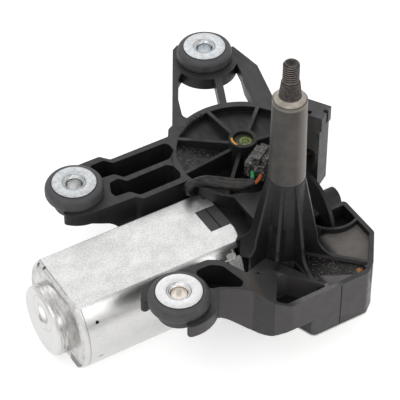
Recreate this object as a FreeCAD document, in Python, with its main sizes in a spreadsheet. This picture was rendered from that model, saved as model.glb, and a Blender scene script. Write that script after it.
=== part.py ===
"""Rear-window wiper motor, in millimetres, +Z up along the output spindle.

The origin is the point of the spindle's axis that is level with the tops of the three mounting
washers. +X runs along the motor from its closed end to the gearbox.
"""
import FreeCAD, Part
import math
import os
import Sketcher

Vector = FreeCAD.Vector
Rotation = FreeCAD.Rotation
Placement = FreeCAD.Placement
UP = Vector(0, 0, 1)
ALONG = Vector(1, 0, 0)
ACROSS = Vector(0, 1, 0)
FULL_TURN = 360.0

# Every driving size: its name, its value and what it is
SIZES = [
    ("washer_r", 11.5, "mounting washer, outer radius"),
    ("washer_t", 1.5, "mounting washer, thickness"),
    ("sleeve_r", 5.2, "spacer sleeve, outer radius"),
    ("sleeve_bore_r", 4.05, "spacer sleeve, bore radius for an M8 stud"),
    ("sleeve_sink", 0.6, "how far the staked end lies below the washer's top"),
    ("sleeve_foot_r", 9.5, "flange at the lower end of the sleeve"),
    ("sleeve_foot_t", 1.2, "thickness of that flange"),
    ("grommet_r", 15.4, "upper bead of the grommet"),
    ("grommet_neck_r", 11.0, "neck of the grommet in the fork"),
    ("grommet_top", 0.5, "top of the bead below the washer's top"),
    ("grommet_round", 3.2, "rounding of the bead"),
    ("fork_t", 7.0, "thickness of the fork that holds the grommet"),
    ("fork_gap", 0.2, "clearance between fork and grommet"),
    ("fork_r", 17.7, "outer radius of the fork"),
    ("front_fork_r", 19.0, "outer radius of the front fork"),
    ("fork_shift", 1.6, "how far the fork's disc lies back from its opening"),
    ("fork_tip_round", 2.0, "rounding of the fork's two tips"),
    ("back_x", 42.6, "back mount"),
    ("back_y", 147.0, "back mount"),
    ("left_x", -70.6, "left mount"),
    ("left_y", 87.4, "left mount"),
    ("front_x", -63.8, "front mount"),
    ("front_y", -6.0, "front mount"),
    ("rim_z", -8.0, "top edge of the housing's walls and arms"),
    ("skin_z", -17.0, "top of the housing's skin"),
    ("skin_t", 2.5, "thickness of the skin"),
    ("dome_floor_z", -11.7, "raised floor in the outer half of the dome"),
    ("hub_rib_z", -4.5, "top of the dome's ribs at the hub"),
    ("wall_t", 2.5, "thickness of the side walls"),
    ("base_z", -36.0, "lower edge of the gear case"),
    ("rib_t", 1.7, "thickness of ribs and fins"),
    ("front_y0", -36.5, "outer face of the front wall"),
    ("right_x", 44.5, "outer face of the right wall"),
    ("case_left_x", -14.0, "outer face of the case beside the spindle"),
    ("tube_top_z", 88.3, "top of the spindle tube"),
    ("tube_low_z", 40.4, "where the tube meets the plastic cone"),
    ("tube_end_z", -12.0, "lower end of the tube inside the cone"),
    ("tube_top_r", 8.37, "outer radius at the tube's top"),
    ("tube_low_r", 9.06, "outer radius where it meets the cone"),
    ("tube_spigot_r", 7.9, "radius of the part inside the cone"),
    ("tube_bore_r", 6.6, "bore of the tube"),
    ("cone_foot_r", 11.0, "radius of the cone at the skin"),
    ("fin_foot_r", 25.0, "reach of a fin at the level of the rim"),
    ("shaft_r", 5.4, "output spindle"),
    ("shaft_low_r", 4.5, "output spindle below its shoulder"),
    ("shaft_shoulder_z", -42.6, "shoulder above the pinion"),
    ("knurl_top_r", 4.48, "taper at its upper end"),
    ("knurl_low_z", 90.8, "lower end of the knurled taper"),
    ("knurl_top_z", 99.2, "upper end of the knurled taper"),
    ("thread_r", 4.0, "M8 output thread"),
    ("thread_top_z", 109.8, "end of the output thread"),
    ("thread_chamfer", 0.9, "chamfer of the thread's end"),
    ("running_gap", 0.05, "radial clearance of a running fit"),
    ("bush_flange_r", 7.55, "flange of the upper bush"),
    ("bush_flange_t", 2.1, "height of that flange"),
    ("bush_len", 18.0, "length of the upper bush in the tube"),
    ("lower_bush_r", 7.0, "lower bush, outer radius"),
    ("lower_bush_top_z", -18.0, "top of the lower bush"),
    ("lower_bush_end_z", -40.0, "lower end of the lower bush"),
    ("lower_boss_r", 9.2, "boss round the lower bush"),
    ("lower_boss_z", -42.0, "lower end of that boss"),
    ("dome_x", 20.5, "centre of the dome and the worm wheel"),
    ("dome_y", 71.5, "centre of the dome and the worm wheel"),
    ("dome_r", 36.7, "outer radius of the dome"),
    ("dome_wall", 2.0, "thickness of the dome's rim"),
    ("hub_r", 7.45, "hub ring of the dome"),
    ("hub_recess_r", 5.4, "recess in the hub ring"),
    ("hub_recess_depth", 4.5, "depth of that recess"),
    ("hub_end_z", -31.2, "lower end of the hub above the wheel"),
    ("motor_y", 40.5, "motor axis"),
    ("motor_z", -36.0, "motor axis"),
    ("can_r", 29.2, "round sides of the can"),
    ("can_flat", 21.7, "half height over the can's flats"),
    ("can_t", 1.6, "sheet of the can"),
    ("can_open_x", -15.0, "open end of the can"),
    ("can_end_x", -107.5, "closed end of the can"),
    ("can_corner", 3.0, "rounding of the closed end"),
    ("end_boss_r", 18.6, "raised disc on the closed end"),
    ("end_boss_x", -116.0, "face of that disc"),
    ("flange_x", -10.0, "gearbox side of the motor flange"),
    ("armature_r", 4.0, "armature shaft"),
    ("bearing_r", 6.5, "outer radius of the motor bearings"),
    ("air_gap", 0.8, "gap between armature core and magnets"),
    ("core_x0", -90.0, "armature core"),
    ("core_x1", -43.0, "armature core"),
    ("core_slots", 10, "slots of the armature"),
    ("magnet_t", 8.2, "thickness of the magnets"),
    ("magnet_half_angle", 45.0, "half of a magnet's arc, in degrees"),
    ("commutator_r", 9.5, "commutator"),
    ("worm_pitch_r", 4.125, "pitch radius of the worm"),
    ("worm_root_r", 2.6, "core of the worm"),
    ("worm_tip_r", 5.35, "crest of the worm"),
    ("worm_len", 26.0, "length of the worm"),
    ("gear_module", 1.25, "module of worm and wheel"),
    ("wheel_teeth", 43, "teeth of the worm wheel"),
    ("wheel_t", 9.0, "thickness of the worm wheel"),
    ("wheel_hub_r", 13.0, "hub of the worm wheel"),
    ("wheel_web_t", 4.5, "web of the worm wheel"),
    ("axle_r", 4.0, "axle of the worm wheel"),
    ("crank_r", 9.0, "throw of the crank pin"),
    ("crank_pin_r", 3.0, "crank pin"),
    ("pinion_module", 1.0, "module of pinion and sector"),
    ("pinion_teeth", 16, "teeth of the spindle pinion"),
    ("sector_teeth", 32, "teeth on the full circle of the sector"),
    ("rod_top_z", -43.0, "top of the toothed rod and the pinion"),
    ("rod_t", 4.0, "thickness of the toothed rod"),
    ("rocker_t", 2.6, "thickness of the rocker plate"),
    ("link_gap", 0.4, "gap between rod and rocker plate"),
    ("open_gap", 0.3, "gap between two bodies that the model keeps apart"),
    ("rocker_pin_r", 3.0, "pin between rocker plate and rod"),
    ("eye_r", 7.0, "eyes of the rod"),
    ("rocker_angle", 5.0, "direction of the rocker plate at mid-wipe, in degrees"),
    ("sector_reach", 30.0, "half of the sector's arc, in degrees"),
    ("cover_t", 1.0, "sheet of the bottom cover"),
    ("cover_lip", 0.2, "how far the cover stands out of the case"),
    ("pan_floor_z", -52.2, "inner floor of the cover's pan"),
    ("gasket_t", 0.4, "cover gasket"),
    ("screw_r", 1.7, "cover screw"),
    ("screw_head_r", 2.8, "head of the cover screw"),
    ("screw_boss_r", 3.4, "boss for a cover screw"),
    ("sleeve_wire_r", 2.6, "black sleeve round the two wires"),
    ("wire_r", 0.95, "single wire"),
    ("tower_x", 23.6, "foot corner of the connector housing"),
    ("tower_y", 47.7, "foot corner of the connector housing"),
    ("tower_turn", -58.0, "direction of its long side, in degrees"),
    ("tower_len", 26.0, "long side of the connector housing"),
    ("tower_deep", 11.3, "short side of the connector housing"),
    ("tower_top_z", 39.5, "top of the connector housing"),
    ("tower_wall", 1.6, "wall of the connector housing"),
]


class SizeSheet:
    """The spreadsheet of the document, read by name."""

    def __init__(self, document):
        self.sheet = document.addObject("Spreadsheet::Sheet", "Sizes")
        for row, (alias, value, note) in enumerate(SIZES, start=1):
            self.sheet.set(f"A{row}", note)
            self.sheet.set(f"B{row}", str(value))
            self.sheet.setAlias(f"B{row}", alias)
        document.recompute()

    def __getattr__(self, alias):
        return float(self.sheet.get(alias))


doc = FreeCAD.newDocument("WiperMotor")
size = SizeSheet(doc)
nodes = []


def value_of(expression):
    """The number that an expression on the sheet stands for."""
    return float(size.sheet.evalExpression(expression))


def in_sheet(expression):
    """Puts the sheet's name before each size that an expression names."""
    words = expression.replace("(", " ( ").replace(")", " ) ").split()
    names = {alias for alias, value, note in SIZES}
    return " ".join("Sizes." + word if word in names else word for word in words)


def place(thing, x="0", y="0", z="0"):
    """Binds where a piece stands to the sheet."""
    for letter, expression in (("x", x), ("y", y), ("z", z)):
        thing.setExpression(f"Placement.Base.{letter}", in_sheet(expression))


def keep(thing, name):
    """Names a finished piece and puts it on the list of pieces."""
    thing.Label = name
    nodes.append(thing)
    return thing


def outline_sketch(body, role, corners):
    """A closed outline of straight edges; each corner is held by two expressions."""
    sketch = body.newObject("Sketcher::SketchObject", body.Name + "_outline")
    plane = [p for p in body.Origin.OriginFeatures if p.Role == role][0]
    sketch.AttachmentSupport = [(plane, "")]
    sketch.MapMode = "FlatFace"
    held = [(in_sheet(across), in_sheet(along)) for across, along in corners]
    points = [Vector(value_of(across), value_of(along), 0) for across, along in held]
    count = len(points)
    for number in range(count):
        sketch.addGeometry(Part.LineSegment(points[number], points[(number + 1) % count]), False)
    for number in range(count):
        sketch.addConstraint(Sketcher.Constraint("Coincident", number, 2, (number + 1) % count, 1))
    for number in range(count):
        for kind, expression, start in (("DistanceX", held[number][0], points[number].x),
                                        ("DistanceY", held[number][1], points[number].y)):
            place_in_list = sketch.addConstraint(Sketcher.Constraint(kind, -1, 1, number, 1, start))
            sketch.setExpression(f"Constraints[{place_in_list}]", expression)
    return sketch


def turned(name, corners, along_motor=False):
    """A piece turned on a lathe: its half section, as radius and height or as length and radius."""
    body = doc.addObject("PartDesign::Body", name)
    sketch = outline_sketch(body, "XY_Plane" if along_motor else "XZ_Plane", corners)
    doc.recompute()
    revolution = body.newObject("PartDesign::Revolution", name + "_turn")
    revolution.Profile = sketch
    revolution.ReferenceAxis = (sketch, ["H_Axis" if along_motor else "V_Axis"])
    revolution.Angle = FULL_TURN
    doc.recompute()
    return body


def round_edges(body, radius, chosen):
    """Fillets the edges of a body's last feature that a test picks out."""
    base = body.Tip
    edges = [f"Edge{n}" for n, edge in enumerate(base.Shape.Edges, start=1) if chosen(edge)]
    fillet = body.newObject("PartDesign::Fillet", body.Name + "_round")
    fillet.Base = (base, edges)
    fillet.setExpression("Radius", in_sheet(radius))
    doc.recompute()


def shaped(name, shape):
    """A piece whose solid is made with Part's own functions."""
    feature = doc.addObject("Part::Feature", name)
    feature.Shape = shape
    return keep(feature, name)


def cylinder(radius, low, high, centre=Vector(0, 0, 0), axis=UP):
    """A solid cylinder from one height to another along an axis."""
    return Part.makeCylinder(radius, high - low, centre + axis * low, axis)


def block(x0, x1, y0, y1, z0, z1):
    """A box between two corners."""
    return Part.makeBox(x1 - x0, y1 - y0, z1 - z0, Vector(x0, y0, z0))


def rounded_outline(corners):
    """A closed wire through corners (x, y, radius), with an arc at each rounded corner."""
    points = [Vector(x, y, 0) for x, y, radius in corners]
    count = len(points)
    stretches = []
    for number, (x, y, radius) in enumerate(corners):
        here = points[number]
        back = (points[number - 1] - here).normalize()
        ahead = (points[(number + 1) % count] - here).normalize()
        half = back.getAngle(ahead) / 2.0
        if radius <= 0 or abs(math.cos(half)) < 1e-6:
            stretches.append((here, here, here))
            continue
        run = radius / math.tan(half)
        middle = here + (back + ahead).normalize() * (radius / math.sin(half) - radius)
        stretches.append((here + back * run, middle, here + ahead * run))
    edges = []
    for number, (start, middle, end) in enumerate(stretches):
        if (end - start).Length > 1e-6:
            edges.append(Part.Arc(start, middle, end).toShape())
        following = stretches[(number + 1) % count][0]
        if (following - end).Length > 1e-6:
            edges.append(Part.makeLine(end, following))
    return Part.Wire(Part.__sortEdges__(edges))


def slab(corners, low, high):
    """A rounded outline raised between two heights."""
    face = Part.Face(rounded_outline(corners))
    face.translate(UP * low)
    return face.extrude(UP * (high - low))


def lifted(face, low, high):
    """A face raised between two heights."""
    solid = face.copy()
    solid.translate(UP * low)
    return solid.extrude(UP * (high - low))


def upright(corners, start, end):
    """An outline in the plane of Y and Z, drawn out along X."""
    wire = Part.makePolygon([Vector(start, y, z) for y, z in corners + corners[:1]])
    return Part.Face(wire).extrude(ALONG * (end - start))


def joined(first, *others):
    """Several solids made one."""
    return first.fuse(list(others)).removeSplitter()


def without(base, *tools):
    """A solid with others taken away."""
    return base.cut(list(tools))


def polar(radius, degrees, centre=Vector(0, 0, 0)):
    """A point at a radius and an angle round a centre."""
    angle = math.radians(degrees)
    return centre + Vector(radius * math.cos(angle), radius * math.sin(angle), 0)


DOME = Vector(size.dome_x, size.dome_y, 0)
MOTOR = Vector(0, size.motor_y, size.motor_z)
MOUNTS = {"back": (size.back_x, size.back_y), "left": (size.left_x, size.left_y),
          "front": (size.front_x, size.front_y)}
# Each fork: the direction of its opening, half the opening's width, its radius and the way its disc is set off
FORKS = {"back": (74.0, 10.0, size.fork_r, 254.0), "left": (172.0, 10.0, size.fork_r, 0.0),
         "front": (197.5, 12.0, size.front_fork_r, 49.0)}


# The three rubber mounts

def mount(which):
    """Washer, staked sleeve and grommet of one mount."""
    fork_low = "rim_z - fork_t"
    sleeve_end = fork_low + " - 0.2 - sleeve_foot_t"
    washer = turned(f"mount_washer_{which}", [
        ("sleeve_r", "0 - washer_t"), ("washer_r", "0 - washer_t"), ("washer_r", "0"), ("sleeve_r", "0")])
    sleeve = turned(f"spacer_sleeve_{which}", [
        ("sleeve_bore_r", sleeve_end), ("sleeve_foot_r", sleeve_end),
        ("sleeve_foot_r", sleeve_end + " + sleeve_foot_t"), ("sleeve_r", sleeve_end + " + sleeve_foot_t"),
        ("sleeve_r", "0 - sleeve_sink"), ("sleeve_bore_r", "0 - sleeve_sink")])
    seat = "0 - washer_t - 0.1"
    grommet = turned(f"grommet_{which}", [
        ("sleeve_r + 0.1", seat), ("washer_r + 0.3", seat), ("washer_r + 0.3", "0 - grommet_top"),
        ("grommet_r", "0 - grommet_top"), ("grommet_r", "rim_z + 0.1"),
        ("grommet_neck_r", "rim_z + 0.1"), ("grommet_neck_r", fork_low + " - 0.1"),
        ("sleeve_r + 0.1", fork_low + " - 0.1")])

    def on_bead(edge):
        circle = edge.Curve
        return hasattr(circle, "Radius") and abs(circle.Radius - size.grommet_r) < 1e-3

    round_edges(grommet, "grommet_round", on_bead)
    for piece in (washer, sleeve, grommet):
        place(piece, f"{which}_x", f"{which}_y")
        keep(piece, piece.Name)


for mount_name in MOUNTS:
    mount(mount_name)


# Output spindle, tube and bushes

keep(turned("spindle_tube", [
    ("tube_bore_r", "tube_end_z"), ("tube_spigot_r", "tube_end_z"), ("tube_spigot_r", "tube_low_z"),
    ("tube_low_r", "tube_low_z"), ("tube_top_r", "tube_top_z"), ("tube_bore_r", "tube_top_z")]),
    "spindle_tube")

keep(turned("upper_spindle_bush", [
    ("shaft_r + running_gap", "tube_top_z - bush_len"), ("tube_bore_r", "tube_top_z - bush_len"),
    ("tube_bore_r", "tube_top_z"), ("bush_flange_r", "tube_top_z"),
    ("bush_flange_r", "tube_top_z + bush_flange_t * 0.4"),
    ("shaft_r + running_gap", "tube_top_z + bush_flange_t")]), "upper_spindle_bush")

keep(turned("spindle_seal_ring", [
    ("shaft_r + running_gap", "tube_top_z - bush_len - 3.2"), ("tube_bore_r", "tube_top_z - bush_len - 3.2"),
    ("tube_bore_r", "tube_top_z - bush_len - 0.2"),
    ("shaft_r + running_gap", "tube_top_z - bush_len - 0.2")]), "spindle_seal_ring")

keep(turned("lower_spindle_bush", [
    ("shaft_r + running_gap", "lower_bush_end_z"), ("lower_bush_r", "lower_bush_end_z"),
    ("lower_bush_r", "lower_bush_top_z"), ("shaft_r + running_gap", "lower_bush_top_z")]),
    "lower_spindle_bush")

ROCKER_TOP = "rod_top_z - rod_t - link_gap"
CIRCLIP_TOP = ROCKER_TOP + " - rocker_t - 0.2"
CIRCLIP_T = "0.8"
GROOVE_R = "shaft_low_r - 0.6"
keep(turned("output_spindle", [
    ("0", CIRCLIP_TOP + " - 1.4"), ("shaft_low_r", CIRCLIP_TOP + " - 1.4"),
    ("shaft_low_r", CIRCLIP_TOP + " - " + CIRCLIP_T), (GROOVE_R, CIRCLIP_TOP + " - " + CIRCLIP_T),
    (GROOVE_R, CIRCLIP_TOP), ("shaft_low_r", CIRCLIP_TOP), ("shaft_low_r", "shaft_shoulder_z"),
    ("shaft_r", "shaft_shoulder_z"), ("shaft_r", "knurl_low_z"), ("knurl_top_r", "knurl_top_z"),
    ("thread_r", "knurl_top_z"), ("thread_r", "thread_top_z - thread_chamfer"),
    ("thread_r - thread_chamfer", "thread_top_z"), ("0", "thread_top_z")]), "output_spindle")

keep(turned("spindle_circlip", [
    (GROOVE_R, CIRCLIP_TOP + " - " + CIRCLIP_T), ("shaft_low_r + 2.2", CIRCLIP_TOP + " - " + CIRCLIP_T),
    ("shaft_low_r + 2.2", CIRCLIP_TOP), (GROOVE_R, CIRCLIP_TOP)]), "spindle_circlip")


# Gear teeth

PRESSURE_ANGLE = math.radians(20.0)


def gear_face(module, teeth, backlash, first_tooth, span=None, inner=0.0):
    """The section of a spur gear, or of a toothed sector when a span of angles is given."""
    pitch_r = module * teeth / 2.0
    base_r = pitch_r * math.cos(PRESSURE_ANGLE)
    tip_r = pitch_r + module
    root_r = pitch_r - 1.25 * module
    half_pitch_tooth = (math.pi * module / 2.0 - backlash) / (2.0 * pitch_r)

    def involute(radius):
        roll = math.acos(min(1.0, base_r / radius))
        return math.tan(roll) - roll

    def flank_angle(radius):
        return math.degrees(half_pitch_tooth + involute(pitch_r) - involute(max(radius, base_r)))

    flank_radii = (max(base_r, root_r), (max(base_r, root_r) + tip_r) / 2.0, tip_r)
    step = FULL_TURN / teeth
    numbers = range(teeth)
    if span is not None:
        low, high = span
        numbers = [n for n in range(-teeth, teeth) if low < first_tooth + n * step < high]
    edges = []
    last = None
    first = None
    for number in numbers:
        centre = first_tooth + number * step
        rise = [polar(r, centre - flank_angle(r)) for r in flank_radii]
        fall = [polar(r, centre + flank_angle(r)) for r in reversed(flank_radii)]
        root_in = polar(root_r, centre - flank_angle(flank_radii[0]))
        root_out = polar(root_r, centre + flank_angle(flank_radii[0]))
        if last is not None:
            edges.append(Part.makeLine(last, root_in))
        else:
            first = root_in
        if (rise[0] - root_in).Length > 1e-6:
            edges.append(Part.makeLine(root_in, rise[0]))
        edges.append(Part.Arc(*rise).toShape())
        edges.append(Part.makeLine(rise[2], fall[0]))
        edges.append(Part.Arc(*fall).toShape())
        if (fall[2] - root_out).Length > 1e-6:
            edges.append(Part.makeLine(fall[2], root_out))
        last = root_out
    if span is None:
        edges.append(Part.makeLine(last, first))
    else:
        start = polar(inner, span[0])
        end = polar(inner, span[1])
        edge_in = polar(root_r, span[0])
        edge_out = polar(root_r, span[1])
        edges.append(Part.makeLine(last, edge_out))
        edges.append(Part.makeLine(edge_out, end))
        edges.append(Part.Arc(end, polar(inner, sum(span) / 2.0), start).toShape())
        edges.append(Part.makeLine(start, edge_in))
        edges.append(Part.makeLine(edge_in, first))
    return Part.Wire(Part.__sortEdges__(edges))


# Worm wheel and what it carries

LEAD = math.pi * size.gear_module
LEAD_ANGLE = math.atan(LEAD / (2.0 * math.pi * size.worm_pitch_r))
WHEEL_PITCH_R = size.gear_module * size.wheel_teeth / 2.0
WHEEL_TOP = size.motor_z + size.wheel_t / 2.0
WHEEL_LOW = size.motor_z - size.wheel_t / 2.0
CRANK = DOME + Vector(size.crank_r, 0, 0)
TOOTH_BACKLASH = 0.35
BOTTOM = -90.0


def worm_wheel():
    """A helical wheel that the worm drives, hollowed from below."""
    teeth = int(size.wheel_teeth)
    step = FULL_TURN / teeth
    wire = gear_face(size.gear_module, teeth, TOOTH_BACKLASH, BOTTOM + step / 2.0)
    twist = math.degrees(size.wheel_t * math.tan(LEAD_ANGLE) / WHEEL_PITCH_R)
    ends = []
    for height, turn in ((WHEEL_LOW, -twist / 2.0), (WHEEL_TOP, twist / 2.0)):
        end = wire.copy()
        end.Placement = Placement(DOME + UP * height, Rotation(UP, turn))
        ends.append(end)
    toothed = Part.makeLoft(ends, True, True)
    rim_in = WHEEL_PITCH_R - 4.5
    web_low = WHEEL_TOP - size.wheel_web_t
    hollow = without(cylinder(rim_in, WHEEL_LOW - 1.0, web_low, DOME),
                     cylinder(size.wheel_hub_r, WHEEL_LOW - 1.0, web_low, DOME))
    bore = cylinder(size.axle_r + size.running_gap, WHEEL_LOW - 1.0, WHEEL_TOP + 1.0, DOME)
    pin_seat = cylinder(size.crank_pin_r, WHEEL_LOW - 1.0, WHEEL_TOP - 2.0, CRANK)
    return without(toothed, hollow, bore, pin_seat)


shaped("worm_wheel", worm_wheel())

shaped("crank_pin", cylinder(size.crank_pin_r, size.rod_top_z + size.open_gap, WHEEL_TOP - 2.0, CRANK))

shaped("park_contact_ring", without(
    cylinder(20.0, WHEEL_TOP, WHEEL_TOP + 0.4, DOME), cylinder(15.0, WHEEL_TOP, WHEEL_TOP + 0.4, DOME)))

AXLE_TOP_Z = -6.0
AXLE_END_Z = WHEEL_LOW - 1.9
RING_TOP_Z = WHEEL_LOW - 0.3
RING_T = 0.8
axle_groove = without(cylinder(size.axle_r + 1.0, RING_TOP_Z - RING_T, RING_TOP_Z, DOME),
                      cylinder(size.axle_r - 0.6, RING_TOP_Z - RING_T, RING_TOP_Z, DOME))
shaped("wheel_axle", without(cylinder(size.axle_r, AXLE_END_Z, AXLE_TOP_Z, DOME), axle_groove))
shaped("axle_retaining_ring", without(
    cylinder(size.axle_r + 2.0, RING_TOP_Z - RING_T, RING_TOP_Z, DOME),
    cylinder(size.axle_r - 0.6, RING_TOP_Z - RING_T, RING_TOP_Z, DOME)))


# Linkage between crank and spindle

PINION_PITCH_R = size.pinion_module * size.pinion_teeth / 2.0
SECTOR_PITCH_R = size.pinion_module * size.sector_teeth / 2.0
LINK_DISTANCE = PINION_PITCH_R + SECTOR_PITCH_R
KNEE = polar(LINK_DISTANCE, size.rocker_angle)
ROD_LOW_Z = size.rod_top_z - size.rod_t
ROCKER_TOP_Z = ROD_LOW_Z - size.link_gap
ROCKER_LOW_Z = ROCKER_TOP_Z - size.rocker_t
LINK_BACKLASH = 0.16


def link_outline(first, first_r, second, second_r):
    """Two round eyes and the straight sides that touch both."""
    along = second - first
    reach = along.Length
    heading = math.degrees(math.atan2(along.y, along.x))
    lean = math.degrees(math.acos((first_r - second_r) / reach))
    first_left = polar(first_r, heading + lean, first)
    first_right = polar(first_r, heading - lean, first)
    second_left = polar(second_r, heading + lean, second)
    second_right = polar(second_r, heading - lean, second)
    return Part.Wire([
        Part.Arc(first_left, polar(first_r, heading + 180.0, first), first_right).toShape(),
        Part.makeLine(first_right, second_right),
        Part.Arc(second_right, polar(second_r, heading, second), second_left).toShape(),
        Part.makeLine(second_left, first_left)])


def raised(wire, low, high):
    """A closed wire raised between two heights."""
    face = Part.Face(wire)
    face.translate(UP * low)
    return face.extrude(UP * (high - low))


def toothed_rod():
    """The rod whose toothed end drives the spindle's pinion."""
    facing = size.rocker_angle + 180.0
    step = FULL_TURN / size.sector_teeth
    wire = gear_face(size.pinion_module, int(size.sector_teeth), LINK_BACKLASH, facing + step / 2.0,
                     (facing - size.sector_reach, facing + size.sector_reach), size.eye_r - 1.0)
    wire.translate(KNEE)
    sector = raised(wire, ROD_LOW_Z, size.rod_top_z)
    bar = raised(link_outline(KNEE, size.eye_r + 1.0, CRANK, size.eye_r), ROD_LOW_Z, size.rod_top_z)
    pin_bore = cylinder(size.rocker_pin_r + size.running_gap, ROD_LOW_Z - 1.0, size.rod_top_z + 1.0, KNEE)
    bush_bore = cylinder(size.crank_pin_r + 1.6, ROD_LOW_Z - 1.0, size.rod_top_z + 1.0, CRANK)
    return without(joined(sector, bar), pin_bore, bush_bore)


shaped("toothed_rod", toothed_rod())
shaped("rod_bush", without(
    cylinder(size.crank_pin_r + 1.6, ROD_LOW_Z, size.rod_top_z, CRANK),
    cylinder(size.crank_pin_r + size.running_gap, ROD_LOW_Z, size.rod_top_z, CRANK)))

shaped("rocker_plate", without(
    raised(link_outline(Vector(0, 0, 0), 9.0, KNEE, 6.5), ROCKER_LOW_Z, ROCKER_TOP_Z),
    cylinder(size.shaft_low_r + size.running_gap, ROCKER_LOW_Z, ROCKER_TOP_Z),
    cylinder(size.rocker_pin_r, ROCKER_LOW_Z, ROCKER_TOP_Z, KNEE)))
shaped("rocker_pin", joined(
    cylinder(size.rocker_pin_r, ROCKER_LOW_Z, size.rod_top_z + 0.2, KNEE),
    cylinder(size.rocker_pin_r + 1.5, size.rod_top_z + 0.2, size.rod_top_z + 1.1, KNEE)))

pinion_wire = gear_face(size.pinion_module, int(size.pinion_teeth), LINK_BACKLASH, size.rocker_angle)
shaped("spindle_pinion", without(
    raised(pinion_wire, ROD_LOW_Z, size.rod_top_z),
    cylinder(size.shaft_low_r, ROD_LOW_Z, size.rod_top_z)))


# Motor

def can_face(radius, flat, start):
    """The can's section: a circle with a flat above and below."""
    half = math.sqrt(radius * radius - flat * flat)
    near_top = Vector(start, size.motor_y - half, size.motor_z + flat)
    far_top = Vector(start, size.motor_y + half, size.motor_z + flat)
    near_low = Vector(start, size.motor_y - half, size.motor_z - flat)
    far_low = Vector(start, size.motor_y + half, size.motor_z - flat)
    near_side = Vector(start, size.motor_y - radius, size.motor_z)
    far_side = Vector(start, size.motor_y + radius, size.motor_z)
    return Part.Face(Part.Wire([
        Part.makeLine(near_top, far_top), Part.Arc(far_top, far_side, far_low).toShape(),
        Part.makeLine(far_low, near_low), Part.Arc(near_low, near_side, near_top).toShape()]))


def can_bar(radius, flat, start, end):
    """A bar of the can's section."""
    return can_face(radius, flat, start).extrude(ALONG * (end - start))


def motor_cylinder(radius, start, end):
    """A cylinder on the motor's axis."""
    return cylinder(radius, start, end, MOTOR, ALONG)


CAN_IN_R = size.can_r - size.can_t
CAN_HALF_FLAT = math.sqrt(size.can_r ** 2 - size.can_flat ** 2)
DIMPLE_X = -98.0
DIMPLE_ANGLE = 152.2
SLOT_ANGLE = 197.0
FIELD_X0 = size.can_open_x - 12.5
FIELD_X1 = size.can_open_x - 3.4
FIELD_DEPTH = 0.7
NUB_R = 5.0
NUB_RISE = 1.4
CAN_IN_FLAT = size.can_flat - size.can_t
MAGNET_IN_R = CAN_IN_R - size.magnet_t
CORE_R = MAGNET_IN_R - size.air_gap
TAB_Y0 = 33.2
TAB_Y1 = 49.0
TAB_X0 = -22.0
TAB_SIDE_GAP = 0.2
TAB_GROOVE_X = -16.2
TONGUE_X = size.flange_x - 0.5


def can_tongue(spare):
    """The can's flat where it runs on over the motor flange, with its rounded corner."""
    near, far = size.motor_y - CAN_HALF_FLAT, size.motor_y + CAN_HALF_FLAT
    start = size.can_open_x - 1.0
    outline = Part.Face(rounded_outline([
        (start, near + 0.3, 0.0), (start + 1.2, near + 0.3, 0.4), (TONGUE_X - 1.4, near + 3.0, 3.0),
        (TONGUE_X, near + 9.0, 4.0), (TONGUE_X, far - 5.0, 0.0), (TONGUE_X - 2.6, far - 5.0, 0.0),
        (TONGUE_X - 2.6, far - 0.3, 0.0), (start, far - 0.3, 0.0)]))
    if spare > 0.0:
        outline = outline.makeOffset2D(spare, 2, False, False, False)
    top = size.motor_z + size.can_flat
    return lifted(outline, top - size.can_t - spare, top + spare)


def round_side(degrees, x, height):
    """A point on the can's round side, seen from its axis, and the way out of the can there."""
    way = Vector(0, math.cos(math.radians(degrees)), math.sin(math.radians(degrees)))
    return MOTOR + ALONG * x + way * (size.can_r - height), way


def can_marks():
    """The pressed dimple and slot near the closed end, and the shallow field beside the open end."""
    foot, way = round_side(DIMPLE_ANGLE, DIMPLE_X, size.can_t + 0.5)
    dimple = Part.makeCylinder(0.9, size.can_t + 1.5, foot, way)
    foot, way = round_side(SLOT_ANGLE, DIMPLE_X, size.can_t + 0.5)
    slot = Part.makeBox(2.6, 0.8, size.can_t + 1.5, Vector(-1.3, -0.4, 0))
    slot.Placement = Placement(foot, Rotation(ALONG, ALONG.cross(way) * -1.0, way, "ZXY"))
    band = without(can_bar(size.can_r + 1.0, size.can_flat + 1.0, FIELD_X0, FIELD_X1),
                   can_bar(size.can_r - FIELD_DEPTH, size.can_flat, FIELD_X0, FIELD_X1))
    field = band.common(block(FIELD_X0, FIELD_X1, size.motor_y - size.can_r - 2.0, size.motor_y - 18.0,
                              size.motor_z + 15.6, size.motor_z + 19.6))
    return [dimple, slot, field]


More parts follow.
